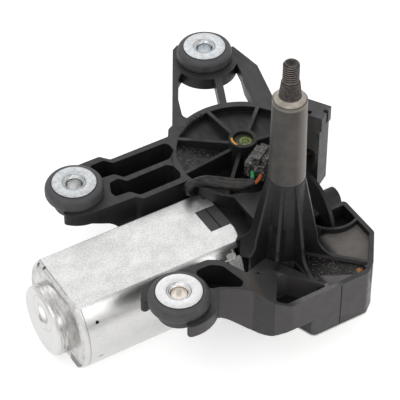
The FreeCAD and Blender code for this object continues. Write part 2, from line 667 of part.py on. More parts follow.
def motor_can():
    """The drawn can with its raised end, bearing cup and the cut-out for the brush holder."""
    outer = can_bar(size.can_r, size.can_flat, size.can_end_x, size.can_open_x)
    end_edges = [e for e in outer.Edges if abs(e.BoundBox.XMax - size.can_end_x) < 1e-6]
    outer = outer.makeFillet(size.can_corner, end_edges)
    boss = motor_cylinder(size.end_boss_r, size.end_boss_x, size.can_end_x + size.can_t)
    boss_edges = [e for e in boss.Edges if abs(e.BoundBox.XMax - size.end_boss_x) < 1e-6]
    boss = boss.makeFillet(size.can_corner * 0.7, boss_edges)
    ball_r = (NUB_R ** 2 + NUB_RISE ** 2) / (2.0 * NUB_RISE)
    ball = Part.makeSphere(ball_r, MOTOR + ALONG * (size.end_boss_x - NUB_RISE + ball_r))
    nub = ball.common(motor_cylinder(NUB_R + 1.0, size.end_boss_x - NUB_RISE - 1.0, size.end_boss_x + 0.2))
    inside = can_bar(CAN_IN_R, CAN_IN_FLAT, size.can_end_x + size.can_t, size.can_open_x + 1.0)
    boss_inside = motor_cylinder(size.end_boss_r - size.can_t, size.end_boss_x + size.can_t,
                                 size.can_end_x + size.can_t + 1.0)
    cup = without(motor_cylinder(size.bearing_r + 1.5, size.end_boss_x + 1.0, size.can_end_x),
                  motor_cylinder(size.bearing_r, size.end_boss_x + size.can_t, size.can_end_x + 1.0))
    top = size.motor_z + size.can_flat
    cut_out = block(TAB_X0, size.flange_x + 1.0, TAB_Y0 - TAB_SIDE_GAP, TAB_Y1 + TAB_SIDE_GAP,
                    top - 2.0 * size.can_t, top + 1.0)
    notch = block(size.can_open_x - 2.4, size.can_open_x + 1.0, size.motor_y - size.can_r - 1.0,
                  size.motor_y - 20.0, size.motor_z + 15.0, size.motor_z + 19.4)
    shell = without(joined(outer, boss, nub), inside, boss_inside)
    return without(joined(shell, cup, can_tongue(0.0)), cut_out, notch, *can_marks())


shaped("motor_can", motor_can())

MAGNET_X0 = size.core_x0 - 4.0
MAGNET_X1 = size.core_x1 + 4.0


def magnet(facing):
    """A curved ferrite magnet against one round side of the can."""
    half = size.magnet_half_angle

    def at(radius, degrees):
        angle = math.radians(degrees)
        return MOTOR + Vector(MAGNET_X0, radius * math.cos(angle), radius * math.sin(angle))

    outer = [at(CAN_IN_R, facing + turn) for turn in (-half, 0.0, half)]
    inner = [at(MAGNET_IN_R, facing + turn) for turn in (half, 0.0, -half)]
    wire = Part.Wire([Part.Arc(*outer).toShape(), Part.makeLine(outer[2], inner[0]),
                      Part.Arc(*inner).toShape(), Part.makeLine(inner[2], outer[0])])
    return Part.Face(wire).extrude(ALONG * (MAGNET_X1 - MAGNET_X0))


shaped("magnet_front", magnet(180.0))
shaped("magnet_back", magnet(0.0))


def magnet_clip(side):
    """A bent spring that holds the two magnets apart under a flat of the can."""
    top = CAN_IN_FLAT
    half_angle = math.radians(size.magnet_half_angle)
    foot_y = (MAGNET_IN_R + 2.0) * math.sin(half_angle) - 0.6
    foot_z = (MAGNET_IN_R + 2.0) * math.cos(half_angle) + 0.4
    sheet = 0.8
    outline = [(-foot_y - sheet, foot_z), (-foot_y + 2.0, top), (foot_y - 2.0, top),
               (foot_y + sheet, foot_z), (foot_y, foot_z - sheet), (foot_y - 3.0, top - sheet),
               (3.0 - foot_y, top - sheet), (-foot_y, foot_z - sheet)]
    corners = [(size.motor_y + y, size.motor_z + side * z) for y, z in outline]
    return upright(corners, MAGNET_X0 + 4.0, MAGNET_X1 - 4.0)


shaped("magnet_clips", Part.makeCompound([magnet_clip(1.0), magnet_clip(-1.0)]))

SLOT_FLOOR_R = 9.0
SLOT_TOP_R = CORE_R - 1.6
SLOT_WIDTH = 5.0
SLOT_MOUTH = 2.0
WINDING_GAP = 0.1
WINDING_END_LEN = 7.0


def round_the_armature(solid, count):
    """Copies of a solid, evenly spaced round the motor's axis."""
    copies = []
    for number in range(count):
        copy = solid.copy()
        copy.rotate(MOTOR, ALONG, number * FULL_TURN / count)
        copies.append(copy)
    return copies


def armature_core():
    """The stack of laminations with its slots."""
    start, end = size.core_x0, size.core_x1
    y, z = size.motor_y, size.motor_z
    slot = joined(
        block(start - 1.0, end + 1.0, y - SLOT_WIDTH / 2, y + SLOT_WIDTH / 2, z + SLOT_FLOOR_R, z + SLOT_TOP_R),
        block(start - 1.0, end + 1.0, y - SLOT_MOUTH / 2, y + SLOT_MOUTH / 2, z + SLOT_TOP_R - 1.0,
              z + CORE_R + 1.0))
    stack = without(motor_cylinder(CORE_R, start, end), motor_cylinder(size.armature_r, start, end))
    return without(stack, *round_the_armature(slot, int(size.core_slots)))


def armature_windings():
    """Copper in the slots and the bundles at both ends."""
    start, end = size.core_x0, size.core_x1
    y, z = size.motor_y, size.motor_z
    half = SLOT_WIDTH / 2 - WINDING_GAP
    bar = block(start - 1.0, end + 1.0, y - half, y + half, z + SLOT_FLOOR_R + WINDING_GAP,
                z + SLOT_TOP_R - WINDING_GAP)
    bundles = []
    for low, high in ((start - WINDING_END_LEN, start - WINDING_GAP), (end + WINDING_GAP, end + WINDING_END_LEN)):
        bundles.append(without(motor_cylinder(SLOT_TOP_R, low, high), motor_cylinder(SLOT_FLOOR_R, low, high)))
    return joined(bundles[0], bundles[1], *round_the_armature(bar, int(size.core_slots)))


shaped("armature_core", armature_core())
shaped("armature_windings", armature_windings())

COMMUTATOR_X0 = size.core_x1 + WINDING_END_LEN
COMMUTATOR_X1 = COMMUTATOR_X0 + 12.5
shaped("commutator", without(
    joined(motor_cylinder(size.commutator_r + 1.5, COMMUTATOR_X0, COMMUTATOR_X0 + 2.0),
           motor_cylinder(size.commutator_r, COMMUTATOR_X0, COMMUTATOR_X1)),
    motor_cylinder(size.armature_r, COMMUTATOR_X0, COMMUTATOR_X1)))

WORM_X0 = size.dome_x - size.worm_len / 2.0
WORM_X1 = size.dome_x + size.worm_len / 2.0
TIP_R = 2.5
TIP_X0 = WORM_X1 + 3.5
END_BEARING_X0 = size.right_x + 0.5
END_BEARING_X1 = END_BEARING_X0 + 10.0
END_BOSS_X = 59.5
SHAFT_X0 = size.end_boss_x + size.can_t + 0.3
SHAFT_X1 = END_BEARING_X1 + 0.4


WORM_TURNS = int((size.worm_len - LEAD) / LEAD)


def worm_thread():
    """One thread of the worm, wound round +Z about the middle of the worm."""
    slope = math.tan(PRESSURE_ANGLE)
    half_pitch_width = (LEAD / 2.0 - TOOTH_BACKLASH) / 2.0
    foot_r = size.worm_root_r - 0.6
    foot = half_pitch_width + (size.worm_pitch_r - foot_r) * slope
    crest = half_pitch_width - (size.worm_tip_r - size.worm_pitch_r) * slope
    helix = Part.makeHelix(LEAD, WORM_TURNS * LEAD, size.worm_pitch_r)
    outline = [Vector(foot_r, 0, -foot), Vector(size.worm_tip_r, 0, -crest),
               Vector(size.worm_tip_r, 0, crest), Vector(foot_r, 0, foot)]
    section = Part.makePolygon(outline + outline[:1])
    thread = Part.Wire(helix).makePipeShell([section], True, True)
    thread.translate(UP * (-WORM_TURNS * LEAD / 2.0))
    return thread


def armature_shaft():
    """The shaft with its rolled worm and its thin end, made upright and then laid on the motor's axis."""
    half_worm = size.worm_len / 2.0
    shaft = joined(
        cylinder(size.worm_root_r, -half_worm, half_worm),
        worm_thread(),
        cylinder(size.armature_r, SHAFT_X0 - size.dome_x, -half_worm),
        cylinder(size.armature_r, half_worm, TIP_X0 - size.dome_x),
        cylinder(TIP_R, TIP_X0 - size.dome_x, SHAFT_X1 - size.dome_x))
    upright_to_motor = Rotation(UP, ALONG)
    # The thread's middle faces the wheel, where a gap between two teeth waits for it
    start_of_thread = upright_to_motor.multVec(ALONG)
    turn = math.degrees(math.atan2(start_of_thread.z, start_of_thread.y))
    half_turn_more = 180.0 * (WORM_TURNS % 2)
    to_the_wheel = Rotation(ALONG, half_turn_more - turn)
    shaft.Placement = Placement(MOTOR + ALONG * size.dome_x, to_the_wheel.multiply(upright_to_motor))
    return shaft


shaped("armature_shaft", armature_shaft())


def motor_bush(name, radius, bore, start, end):
    """A plain bearing on the motor's axis."""
    bush = turned(name, [(start, bore), (end, bore), (end, radius), (start, radius)], True)
    place(bush, "0", "motor_y", "motor_z")
    return keep(bush, name)


motor_bush("can_end_bearing", "bearing_r", "armature_r + running_gap",
           "end_boss_x + can_t", "end_boss_x + can_t + 6")
motor_bush("middle_bearing", "bearing_r", "armature_r + running_gap", "flange_x + 0.5", "flange_x + 8")
motor_bush("worm_end_bearing", "4.2", "2.5 + running_gap", "right_x + 0.5", "right_x + 10.5")
shaped("end_play_plug", motor_cylinder(4.2, SHAFT_X1 + 0.2, END_BOSS_X))


# Brush gear

PLATE_X0 = size.can_open_x - 4.5
PLATE_X1 = size.can_open_x - 1.5
BRUSH_X0 = COMMUTATOR_X1 - 7.5
BRUSH_X1 = COMMUTATOR_X1 - 1.5
BRUSH_HALF = 2.5
BRUSH_R0 = size.commutator_r + 0.3
SPRING_R1 = CAN_IN_R - 4.8
BRUSH_SHARE = 0.554
BRUSH_R1 = BRUSH_R0 + BRUSH_SHARE * (SPRING_R1 - BRUSH_R0)
GUIDE_WALL = 1.2
GUIDE_GAP = 0.05


def beside_axis(solid):
    """A solid beside the motor's axis and its copy across the axis."""
    other = solid.copy()
    other.rotate(MOTOR, ALONG, 180.0)
    return [solid, other]


def brush_holder():
    """The plate that carries the brush guides, with the tab that shows in the can's cut-out."""
    y, z = size.motor_y, size.motor_z
    gap = 0.3
    plate = without(can_bar(CAN_IN_R - gap, CAN_IN_FLAT - gap, PLATE_X0, PLATE_X1),
                    motor_cylinder(size.armature_r + 1.5, PLATE_X0, PLATE_X1))
    top = z + size.can_flat
    tab = block(TAB_X0 + TAB_SIDE_GAP, size.flange_x - TAB_SIDE_GAP, TAB_Y0, TAB_Y1,
                top - size.can_t - 1.2, top)
    groove = block(TAB_GROOVE_X - 0.35, TAB_GROOVE_X + 0.35, TAB_Y0, TAB_Y1, top - 0.8, top + 1.0)
    stem = block(PLATE_X0, PLATE_X1, TAB_Y0, TAB_Y1, z + 12.0, top - 1.0)
    guide = without(
        block(BRUSH_X0 - GUIDE_WALL, PLATE_X0 + 0.5, y + BRUSH_R0 + 1.5, y + SPRING_R1 + GUIDE_WALL,
              z - BRUSH_HALF - GUIDE_WALL, z + BRUSH_HALF + GUIDE_WALL),
        block(BRUSH_X0 - GUIDE_GAP, BRUSH_X1 + GUIDE_GAP, y, y + SPRING_R1, z - BRUSH_HALF - GUIDE_GAP,
              z + BRUSH_HALF + GUIDE_GAP))
    return without(joined(plate, stem, tab, *beside_axis(guide)), groove)


shaped("brush_holder", brush_holder())
shaped("carbon_brushes", Part.makeCompound(beside_axis(block(
    BRUSH_X0, BRUSH_X1, size.motor_y + BRUSH_R0, size.motor_y + BRUSH_R1,
    size.motor_z - BRUSH_HALF, size.motor_z + BRUSH_HALF))))


def brush_spring():
    """A short coil spring behind a brush, drawn as the tube that its turns fill."""
    centre = Vector((BRUSH_X0 + BRUSH_X1) / 2.0, size.motor_y, size.motor_z)
    return without(cylinder(2.3, BRUSH_R1, SPRING_R1, centre, ACROSS),
                   cylinder(1.6, BRUSH_R1, SPRING_R1, centre, ACROSS))


shaped("brush_springs", Part.makeCompound(beside_axis(brush_spring())))
CHOKE_R = 1.7
choke_core = cylinder(CHOKE_R, size.motor_z - 5.0, size.motor_z + 5.0, Vector(PLATE_X1 + CHOKE_R, size.motor_y + 14.0, 0))
shaped("choke_coils", Part.makeCompound(beside_axis(choke_core)))


# Gearbox housing

RIM = size.rim_z
SKIN = size.skin_z
CEILING = size.skin_z - size.skin_t
BASE = size.base_z
WEB_LOW = RIM - 2.5
FRONT_ARM_LOW = RIM - 16.6
CHANNEL_HALF = 8.0
CHANNEL_Y0 = size.motor_y - CHANNEL_HALF
CHANNEL_Y1 = size.motor_y + CHANNEL_HALF
POCKET_BACK_Y = 12.0
FRONT_WALL_LOW = -25.2

FRONT_RIGHT = [(26.0, size.front_y0, 4.0), (32.3, -31.4, 3.0), (size.right_x, -14.4, 3.0)]


def case_outline():
    """The gear case seen from above, without the dome."""
    return ([(-5.0, size.front_y0, 3.0)] + FRONT_RIGHT
            + [(size.right_x, CHANNEL_Y1, 2.0), (size.flange_x, CHANNEL_Y1, 0.0),
               (size.flange_x, 14.0, 0.0), (size.case_left_x, 9.0, 4.0), (size.case_left_x, -12.0, 6.0)])


def case_face():
    """The gear case with the dome, as one face."""
    body = Part.Face(rounded_outline(case_outline()))
    dome = Part.Face(Part.Wire(Part.makeCircle(size.dome_r, DOME)))
    return body.fuse(dome).removeSplitter().Faces[0]


CASE_FACE = case_face()
CASE_INSIDE = CASE_FACE.makeOffset2D(-size.wall_t, 0, False, False, False)

DOME_SCREWS_R = size.dome_r - size.screw_r - 0.6
SCREWS = [Vector(1.0, -29.5, 0), Vector(36.5, -20.5, 0), Vector(40.6, 24.0, 0),
          polar(DOME_SCREWS_R, 60.0, DOME), polar(DOME_SCREWS_R, 125.0, DOME), Vector(-8.0, -17.5, 0)]


def fin(degrees, reach, top_z=None):
    """An upright fin on the cone whose edge sweeps out to the rim's level."""
    top_z = size.tube_low_z if top_z is None else top_z
    neck = 16.5
    neck_z = 4.0
    bend = Vector(neck + 2.2, 0, RIM + 4.6)
    edges = [
        Part.makeLine(Vector(0, 0, CEILING), Vector(0, 0, top_z)),
        Part.makeLine(Vector(0, 0, top_z), Vector(size.tube_low_r + 0.2, 0, top_z)),
        Part.makeLine(Vector(size.tube_low_r + 0.2, 0, top_z), Vector(neck, 0, neck_z)),
        Part.Arc(Vector(neck, 0, neck_z), bend, Vector(size.fin_foot_r, 0, RIM)).toShape()]
    if reach > size.fin_foot_r:
        edges.append(Part.makeLine(Vector(size.fin_foot_r, 0, RIM), Vector(reach, 0, RIM)))
    edges.append(Part.makeLine(Vector(reach, 0, RIM), Vector(reach, 0, CEILING)))
    edges.append(Part.makeLine(Vector(reach, 0, CEILING), Vector(0, 0, CEILING)))
    plate = Part.Face(Part.Wire(edges)).extrude(ACROSS * size.rib_t)
    plate.translate(ACROSS * (-size.rib_t / 2.0))
    plate.rotate(Vector(0, 0, 0), UP, degrees)
    return plate


def rib(start, end, low=None, high=None, thick=None):
    """An upright rib between two points (x, y)."""
    low = CEILING + 0.5 if low is None else low
    high = RIM if high is None else high
    thick = size.rib_t if thick is None else thick
    run = Vector(end[0] - start[0], end[1] - start[1], 0)
    plate = Part.makeBox(run.Length, thick, high - low, Vector(0, -thick / 2.0, 0))
    plate.Placement = Placement(Vector(start[0], start[1], low), Rotation(ALONG, run))
    return plate


def tray_walls():
    """The wall round the front tray and the right pocket, up to the rim."""
    outer = [(-19.0, size.front_y0, 5.0)] + FRONT_RIGHT + [
        (size.right_x, POCKET_BACK_Y, 2.0), (28.0, POCKET_BACK_Y, 0.0), (-14.0, 9.0, 0.0),
        (-29.6, -18.2, 3.0), (-24.2, -31.5, 5.0)]
    face = Part.Face(rounded_outline(outer))
    inner = face.makeOffset2D(-size.wall_t, 0, False, False, False)
    ring = without(lifted(face, SKIN - 1.0, RIM), lifted(inner, SKIN - 1.0, RIM))
    return without(ring, block(-40.0, 27.9, -16.0, 30.0, SKIN - 2.0, RIM + 1.0))


FRONT_LEFT = [(-24.2, -31.5, 5.0), (-29.6, -18.2, 6.0), (-33.8, -13.8, 5.0), (-38.5, -10.2, 5.0)]
# Lower edge of the front wall, as (x, z)
FRONT_LOW = [(-49.0, -25.4), (-45.0, -27.0), (-42.0, -27.8), (-38.5, -30.3), (-33.8, -33.4), (-31.5, -34.8),
             (-29.6, -35.5), (-28.0, -35.1), (-26.5, -34.0), (-25.2, -32.4), (-24.2, -30.4), (-22.0, -28.3),
             (-19.0, -25.6), (-17.0, FRONT_WALL_LOW), (0.5, FRONT_WALL_LOW)]


def below_front_wall():
    """The space under the front wall's sloping lower edge."""
    deep = BASE - 10.0
    low = [(FRONT_LOW[0][0], deep)] + FRONT_LOW + [(FRONT_LOW[-1][0], deep)]
    wire = Part.makePolygon([Vector(x, -60.0, z) for x, z in low + low[:1]])
    return Part.Face(wire).extrude(ACROSS * 80.0)


def front_skirt():
    """The front wall where it hangs below the tray, left of the gear case."""
    outer = [(0.5, size.front_y0, 0.0), (0.5, -10.0, 0.0), (-48.0, -4.0, 0.0), (-45.0, -9.0, 0.0)]
    outer += list(reversed(FRONT_LEFT)) + [(-19.0, size.front_y0, 5.0)]
    face = Part.Face(rounded_outline(outer))
    inner = face.makeOffset2D(-2.0, 0, False, False, False)
    ring = without(lifted(face, BASE, RIM), lifted(inner, BASE, RIM))
    return without(ring, block(-33.5, 5.0, -11.5, 0.0, BASE - 1.0, RIM + 1.0), below_front_wall())


def tray_web():
    """The level web left of the spindle, with the three-cornered pocket."""
    web = slab([(-29.6, -18.2, 3.0), (-24.2, -31.5, 5.0), (-19.0, size.front_y0, 5.0),
                (5.0, size.front_y0, 0.0), (-2.0, -20.0, 0.0), (size.case_left_x + 2.0, -2.0, 0.0),
                (-26.0, -6.0, 0.0)], WEB_LOW, RIM)
    pocket_corners = [(-23.5, -29.5, 2.0), (-14.5, -17.0, 2.0), (-10.0, -17.8, 2.0), (3.6, -33.6, 1.0),
                      (-20.0, -33.8, 2.0)]
    cup = slab([(-25.5, -30.0, 2.0), (-15.0, -15.2, 2.0), (-9.0, -16.0, 2.0), (5.8, -34.0, 1.0),
                (-20.5, -35.0, 2.0)], SKIN - 6.0, RIM)
    holes = [cylinder(0.8, RIM - 1.6, RIM + 1.0, spot) for spot in (Vector(-20.7, -9.0, 0), Vector(-21.1, -33.0, 0))]
    return without(joined(web, cup), *holes), slab(pocket_corners, SKIN - 4.0, RIM + 1.0)


def curved_rib():
    """The curved rib between the cone and the right wall."""
    half = size.rib_t / 2.0
    outer = Part.Arc(Vector(21.0 - half, 6.0, 0), Vector(28.7, -2.2 - half, 0),
                     Vector(size.right_x - 1.0, -1.2 - half, 0)).toShape()
    inner = Part.Arc(Vector(size.right_x - 1.0, -1.2 + half, 0), Vector(28.7, -2.2 + half, 0),
                     Vector(21.0 + half, 6.0, 0)).toShape()
    wire = Part.Wire([outer, Part.makeLine(Vector(size.right_x - 1.0, -1.2 - half, 0),
                                           Vector(size.right_x - 1.0, -1.2 + half, 0)),
                      inner, Part.makeLine(Vector(21.0 + half, 6.0, 0), Vector(21.0 - half, 6.0, 0))])
    return raised(wire, SKIN - 1.0, RIM)


def carrier_wall():
    """The high wall beside the cone that the connector housing leans on."""
    crest = 9.2
    profile = Part.Wire([
        Part.makeLine(Vector(28.0, 0.0, SKIN - 1.0), Vector(28.0, -1.0, RIM)),
        Part.Arc(Vector(28.0, -1.0, RIM), Vector(28.0, 4.4, 1.6), Vector(28.0, 12.0, 7.6)).toShape(),
        Part.Arc(Vector(28.0, 12.0, 7.6), Vector(28.0, 18.0, crest - 0.3), Vector(28.0, 24.0, crest)).toShape(),
        Part.makeLine(Vector(28.0, 24.0, crest), Vector(28.0, 31.0, crest)),
        Part.makeLine(Vector(28.0, 31.0, crest), Vector(28.0, 31.0, SKIN - 1.0)),
        Part.makeLine(Vector(28.0, 31.0, SKIN - 1.0), Vector(28.0, 0.0, SKIN - 1.0))])
    return Part.Face(profile).extrude(ALONG * 2.0)


def bridge():
    """The level web between dome and cone."""
    return slab([(-2.5, 20.0, 2.0), (12.0, 10.0, 0.0), (28.5, 10.0, 0.0), (28.5, 40.0, 0.0),
                 (10.0, 40.0, 0.0), (-2.5, 45.5, 1.0)], WEB_LOW, RIM)


def dome_rib(degrees):
    """A rib of the dome, whose top falls from the hub to the rim."""
    reach = size.dome_r - size.dome_wall / 2.0
    corners = [Vector(0, 0, CEILING + 0.5), Vector(0, 0, size.hub_rib_z), Vector(size.hub_r, 0, size.hub_rib_z),
               Vector(reach, 0, RIM), Vector(reach, 0, CEILING + 0.5)]
    plate = Part.Face(Part.makePolygon(corners + corners[:1])).extrude(ACROSS * 2.0)
    plate.translate(ACROSS * -1.0)
    plate.rotate(Vector(0, 0, 0), UP, degrees)
    plate.translate(DOME)
    return plate


def dome():
    """The rim, ribs, raised floor and hub ring over the worm wheel."""
    rim = without(cylinder(size.dome_r, SKIN - 1.0, RIM, DOME),
                  cylinder(size.dome_r - size.dome_wall, SKIN - 2.0, RIM + 1.0, DOME))
    outer_half = block(-60.0, 100.0, DOME.y, 150.0, CEILING, 0.0)
    floor = cylinder(size.dome_r - 0.5, CEILING + 0.5, size.dome_floor_z, DOME).common(outer_half)
    hub = cylinder(size.hub_r, size.hub_end_z, 0.0, DOME)
    return [rim, floor, hub] + [dome_rib(number * 45.0) for number in range(8)]


def dome_hollow():
    """Room under the raised floor, so that the moulding keeps an even thickness."""
    outer_half = block(-60.0, 100.0, DOME.y + 1.5, 150.0, CEILING - 1.0, 0.0)
    room = cylinder(size.dome_r - 7.0, CEILING - 1.0, size.dome_floor_z - size.skin_t, DOME)
    return without(room, cylinder(size.hub_r + 0.5, CEILING - 1.0, 0.0, DOME)).common(outer_half)


def hub_cuts():
    """The marked recess in the hub and the axle's bore."""
    return [cylinder(size.hub_recess_r, -size.hub_recess_depth, 1.0, DOME),
            cylinder(size.axle_r, size.hub_end_z - 1.0, AXLE_TOP_Z, DOME)]


def spindle_post():
    """The cone, its eight fins and the boss for the lower bush."""
    cone = Part.makeCone(size.cone_foot_r, size.tube_low_r + 0.25, size.tube_low_z - CEILING,
                         Vector(0, 0, CEILING), UP)
    boss = cylinder(size.lower_boss_r, size.lower_boss_z, CEILING + 1.0)
    reaches = {-45.0: 43.0, -90.0: 26.5, -135.0: 17.5, 180.0: 20.0, 135.0: 22.0, 90.0: 34.0, 45.0: 22.0,
               0.0: 21.5}
    return [cone, boss] + [fin(angle, max(reach, 12.0)) if reach >= size.fin_foot_r
                           else short_fin(angle, reach) for angle, reach in reaches.items()]


def short_fin(degrees, reach):
    """A fin that a wall stops before it has swept out."""
    whole = fin(degrees, size.fin_foot_r)
    stop = without(cylinder(size.fin_foot_r + 5.0, CEILING - 1.0, size.tube_low_z + 1.0),
                   cylinder(reach, CEILING - 1.0, size.tube_low_z + 1.0))
    return without(whole, stop)


def spindle_cuts():
    """Seats of the tube and of the lower bush, and the hole between them."""
    return [cylinder(size.tube_spigot_r, size.tube_end_z, size.tube_low_z + 1.0),
            cylinder(size.shaft_r + 0.6, size.lower_bush_top_z - 1.0, size.tube_end_z + 1.0),
            cylinder(size.lower_bush_r, size.lower_boss_z - 1.0, size.lower_bush_top_z)]


def motor_flange():
    """The flange that closes the can, with the seat of the middle bearing."""
    wall = 2.7
    flange = without(can_bar(size.can_r, size.can_flat, size.can_open_x, size.flange_x),
                     can_bar(size.can_r - wall, size.can_flat - wall, size.can_open_x - 1.0,
                             size.flange_x - size.wall_t))
    seat = motor_cylinder(size.bearing_r + 2.5, size.flange_x - size.wall_t, size.flange_x + 8.0)
    return [flange, seat]


def motor_cuts():
    """The bearing's seat, the shaft's hole and the notch for the brush holder's tab."""
    top = size.motor_z + size.can_flat
    return [motor_cylinder(size.bearing_r, size.flange_x + 0.5, size.flange_x + 9.0),
            motor_cylinder(size.armature_r + 1.0, size.flange_x - 4.0, size.flange_x + 1.0),
            block(size.can_open_x - 1.0, size.flange_x, TAB_Y0 - TAB_SIDE_GAP, TAB_Y1 + TAB_SIDE_GAP,
                  top - size.can_t - 1.4, top + 1.0)]


def right_draft():
    """The wedge that gives the right wall its draft."""
    taper = 1.0
    corners = [Vector(size.right_x, 0, RIM), Vector(size.right_x - taper, 0, BASE - 0.5),
               Vector(size.right_x + 2.0, 0, BASE - 0.5), Vector(size.right_x + 2.0, 0, RIM)]
    wedge = Part.Face(Part.makePolygon(corners + corners[:1])).extrude(ACROSS * 47.0)
    wedge.translate(ACROSS * -17.0)
    return wedge


def worm_end():
    """The round boss at the far end of the worm."""
    return motor_cylinder(5.9, size.right_x - 4.5, END_BOSS_X)


def worm_end_cuts():
    """The seat of the end bearing and the shaft's way into it."""
    return [motor_cylinder(4.2, END_BEARING_X0, END_BOSS_X + 1.0),
            motor_cylinder(TIP_R + 0.6, size.right_x - 6.0, END_BEARING_X0 + 1.0)]


def fork(which):
    """The open fork round a grommet."""
    x, y = MOUNTS[which]
    centre = Vector(x, y, 0)
    facing, half_gap, radius, set_off = FORKS[which]
    low = RIM - size.fork_t
    middle = polar(size.fork_shift, set_off, centre)
    hole = cylinder(size.grommet_neck_r + size.fork_gap, low - 1.0, RIM + 1.0, centre)
    mouth = block(0.0, 40.0, -half_gap, half_gap, low - 1.0, RIM + 1.0)
    mouth.rotate(Vector(0, 0, 0), UP, facing)
    mouth.translate(centre)
    disc = without(cylinder(radius, low, RIM, middle), mouth)

    def at_a_tip(edge):
        here = edge.CenterOfMass
        out = Vector(here.x - middle.x, here.y - middle.y, 0)
        beside = (here - centre).dot(polar(1.0, facing + 90.0))
        return abs(out.Length - radius) < 1e-3 and abs(abs(beside) - half_gap) < 1e-3

    tips = [edge for edge in disc.Edges if abs(edge.Length - size.fork_t) < 1e-6 and at_a_tip(edge)]
    return disc.makeFillet(size.fork_tip_round, tips), [hole, mouth]


def under_mount(which, low):
    """Free space below a fork for the sleeve's foot, where an arm is deeper than the fork."""
    x, y = MOUNTS[which]
    return cylinder(size.sleeve_foot_r + 3.0, low - 1.0, RIM - size.fork_t, Vector(x, y, 0))


# Underside of the left arm, as (x, z), from the fork to its full depth
LEFT_ARM_LOW = [(-71.0, RIM - size.fork_t), (-66.0, -17.4), (-60.5, -19.8), (-58.0, -21.8), (-55.3, -24.8)]


def below_left_arm():
    """The space under the left arm's rising underside."""
    deep = LEFT_ARM_LOW[-1][1] - 5.0
    corners = [(LEFT_ARM_LOW[0][0] - 30.0, deep), (LEFT_ARM_LOW[0][0] - 30.0, LEFT_ARM_LOW[0][1])]
    corners += LEFT_ARM_LOW + [(LEFT_ARM_LOW[-1][0], deep)]
    wire = Part.makePolygon([Vector(x, 60.0, z) for x, z in corners + corners[:1]])
    return Part.Face(wire).extrude(ACROSS * 60.0)


def left_arm():
    """The box arm to the left mount, with its two pockets."""
    x, y = MOUNTS["left"]
    low = LEFT_ARM_LOW[-1][1]
    body = slab([(0.0, 100.4, 0.0), (-42.6, 100.4, 2.0), (-46.6, 105.3, 2.0), (x, 105.3, 0.0),
                 (x, 70.0, 0.0), (-45.2, 69.0, 2.0), (-42.4, 65.8, 2.0), (0.0, 65.8, 0.0)], low, RIM)
    pocket_floor = low + 2.5
    pockets = [
        slab([(-16.0, 85.0, 2.0), (-10.6, 89.5, 3.0), (-10.6, 96.8, 3.0), (-42.8, 97.3, 1.5),
              (-46.0, 101.5, 1.5), (-54.5, 101.5, 2.0), (-54.5, 90.4, 1.0), (-46.2, 89.4, 2.0),
              (-43.2, 85.0, 2.0)], pocket_floor, RIM + 1.0),
        slab([(-43.2, 81.6, 1.5), (-46.2, 85.6, 2.0), (-51.6, 85.0, 2.0), (-54.6, 78.0, 2.0),
              (-54.0, 74.6, 1.5), (-45.8, 73.8, 2.0), (-42.4, 69.1, 2.0), (-18.4, 69.4, 1.5),
              (-16.6, 73.0, 1.5), (-17.0, 79.4, 1.5), (-19.8, 81.9, 1.5)], pocket_floor, RIM + 1.0)]
    return body, pockets + [under_mount("left", low), below_left_arm()]


def back_arm():
    """The three-legged arm to the back mount, with its two windows."""
    low = RIM - size.fork_t
    body = slab([(-8.2, 100.0, 0.0), (-4.7, 105.4, 1.0), (-1.5, 106.9, 1.0), (30.7, 161.3, 1.0),
                 (35.0, 163.8, 0.0), (42.6, 147.0, 0.0), (61.2, 147.0, 0.0), (63.9, 126.0, 3.0),
                 (54.0, 88.0, 0.0), (20.0, 85.0, 0.0), (-4.0, 85.0, 0.0)], low, RIM)
    left_window = slab([(5.4, 106.6, 4.0), (12.4, 124.3, 0.0), (21.0, 138.5, 0.0), (30.0, 146.0, 0.0),
                        (43.0, 141.0, 0.0), (28.8, 107.5, 1.0)], low - 1.0, RIM + 1.0)
    right_window = slab([(31.4, 104.0, 0.0), (44.0, 132.5, 0.0), (55.6, 136.0, 0.0), (53.2, 126.0, 3.0),
                         (49.0, 115.5, 8.0), (44.6, 96.0, 0.0)], low - 1.0, RIM + 1.0)
    keep_dome = cylinder(size.dome_r + 1.8, low - 2.0, RIM + 2.0, DOME)
    windows = [without(left_window, keep_dome), without(right_window, keep_dome)]
    return without(body, cylinder(size.dome_r - 0.5, low - 1.0, RIM + 1.0, DOME), *windows), []


def front_arm():
    """The crescent arm to the front mount, with its deep pocket."""
    x, y = MOUNTS["front"]
    body = slab([(x + 9.0, 11.9, 0.0), (-37.7, 11.9, 6.0), (-31.5, 8.0, 6.0), (-25.0, -6.5, 0.0),
                 (-24.2, -20.0, 0.0), (-29.6, -18.2, 1.0), (-33.8, -13.8, 5.0), (-38.5, -10.2, 5.0),
                 (-44.0, -9.0, 0.0), (x + 12.0, -9.0, 0.0)], FRONT_ARM_LOW, RIM)
    pocket = slab([(-47.0, 8.0, 2.5), (-37.7, 8.0, 6.0), (-33.0, 4.0, 4.0), (-29.8, -10.0, 2.0),
                   (-32.3, -13.0, 2.0), (-41.5, -7.5, 3.0), (-46.5, -6.0, 2.5)],
                  FRONT_ARM_LOW + 2.5, RIM + 1.0)
    return body, [pocket, under_mount("front", FRONT_ARM_LOW)]


TOWER = Placement(Vector(size.tower_x, size.tower_y, 0), Rotation(UP, size.tower_turn))


def by_tower(solid):
    """Moves a solid from the connector housing's own directions to its place."""
    solid.Placement = TOWER.multiply(solid.Placement)
    return solid


SLEEVE_ROUTE = [
    (9.2, 42.2, -2.2), (4.6, 43.6, -3.4), (-0.6, 48.0, -4.2), (-6.4, 54.0, -4.6), (-12.6, 58.8, -4.6),
    (-20.3, 60.2, -4.8), (-20.3, 60.2, -11.4), (-14.1, 61.9, -11.4)]


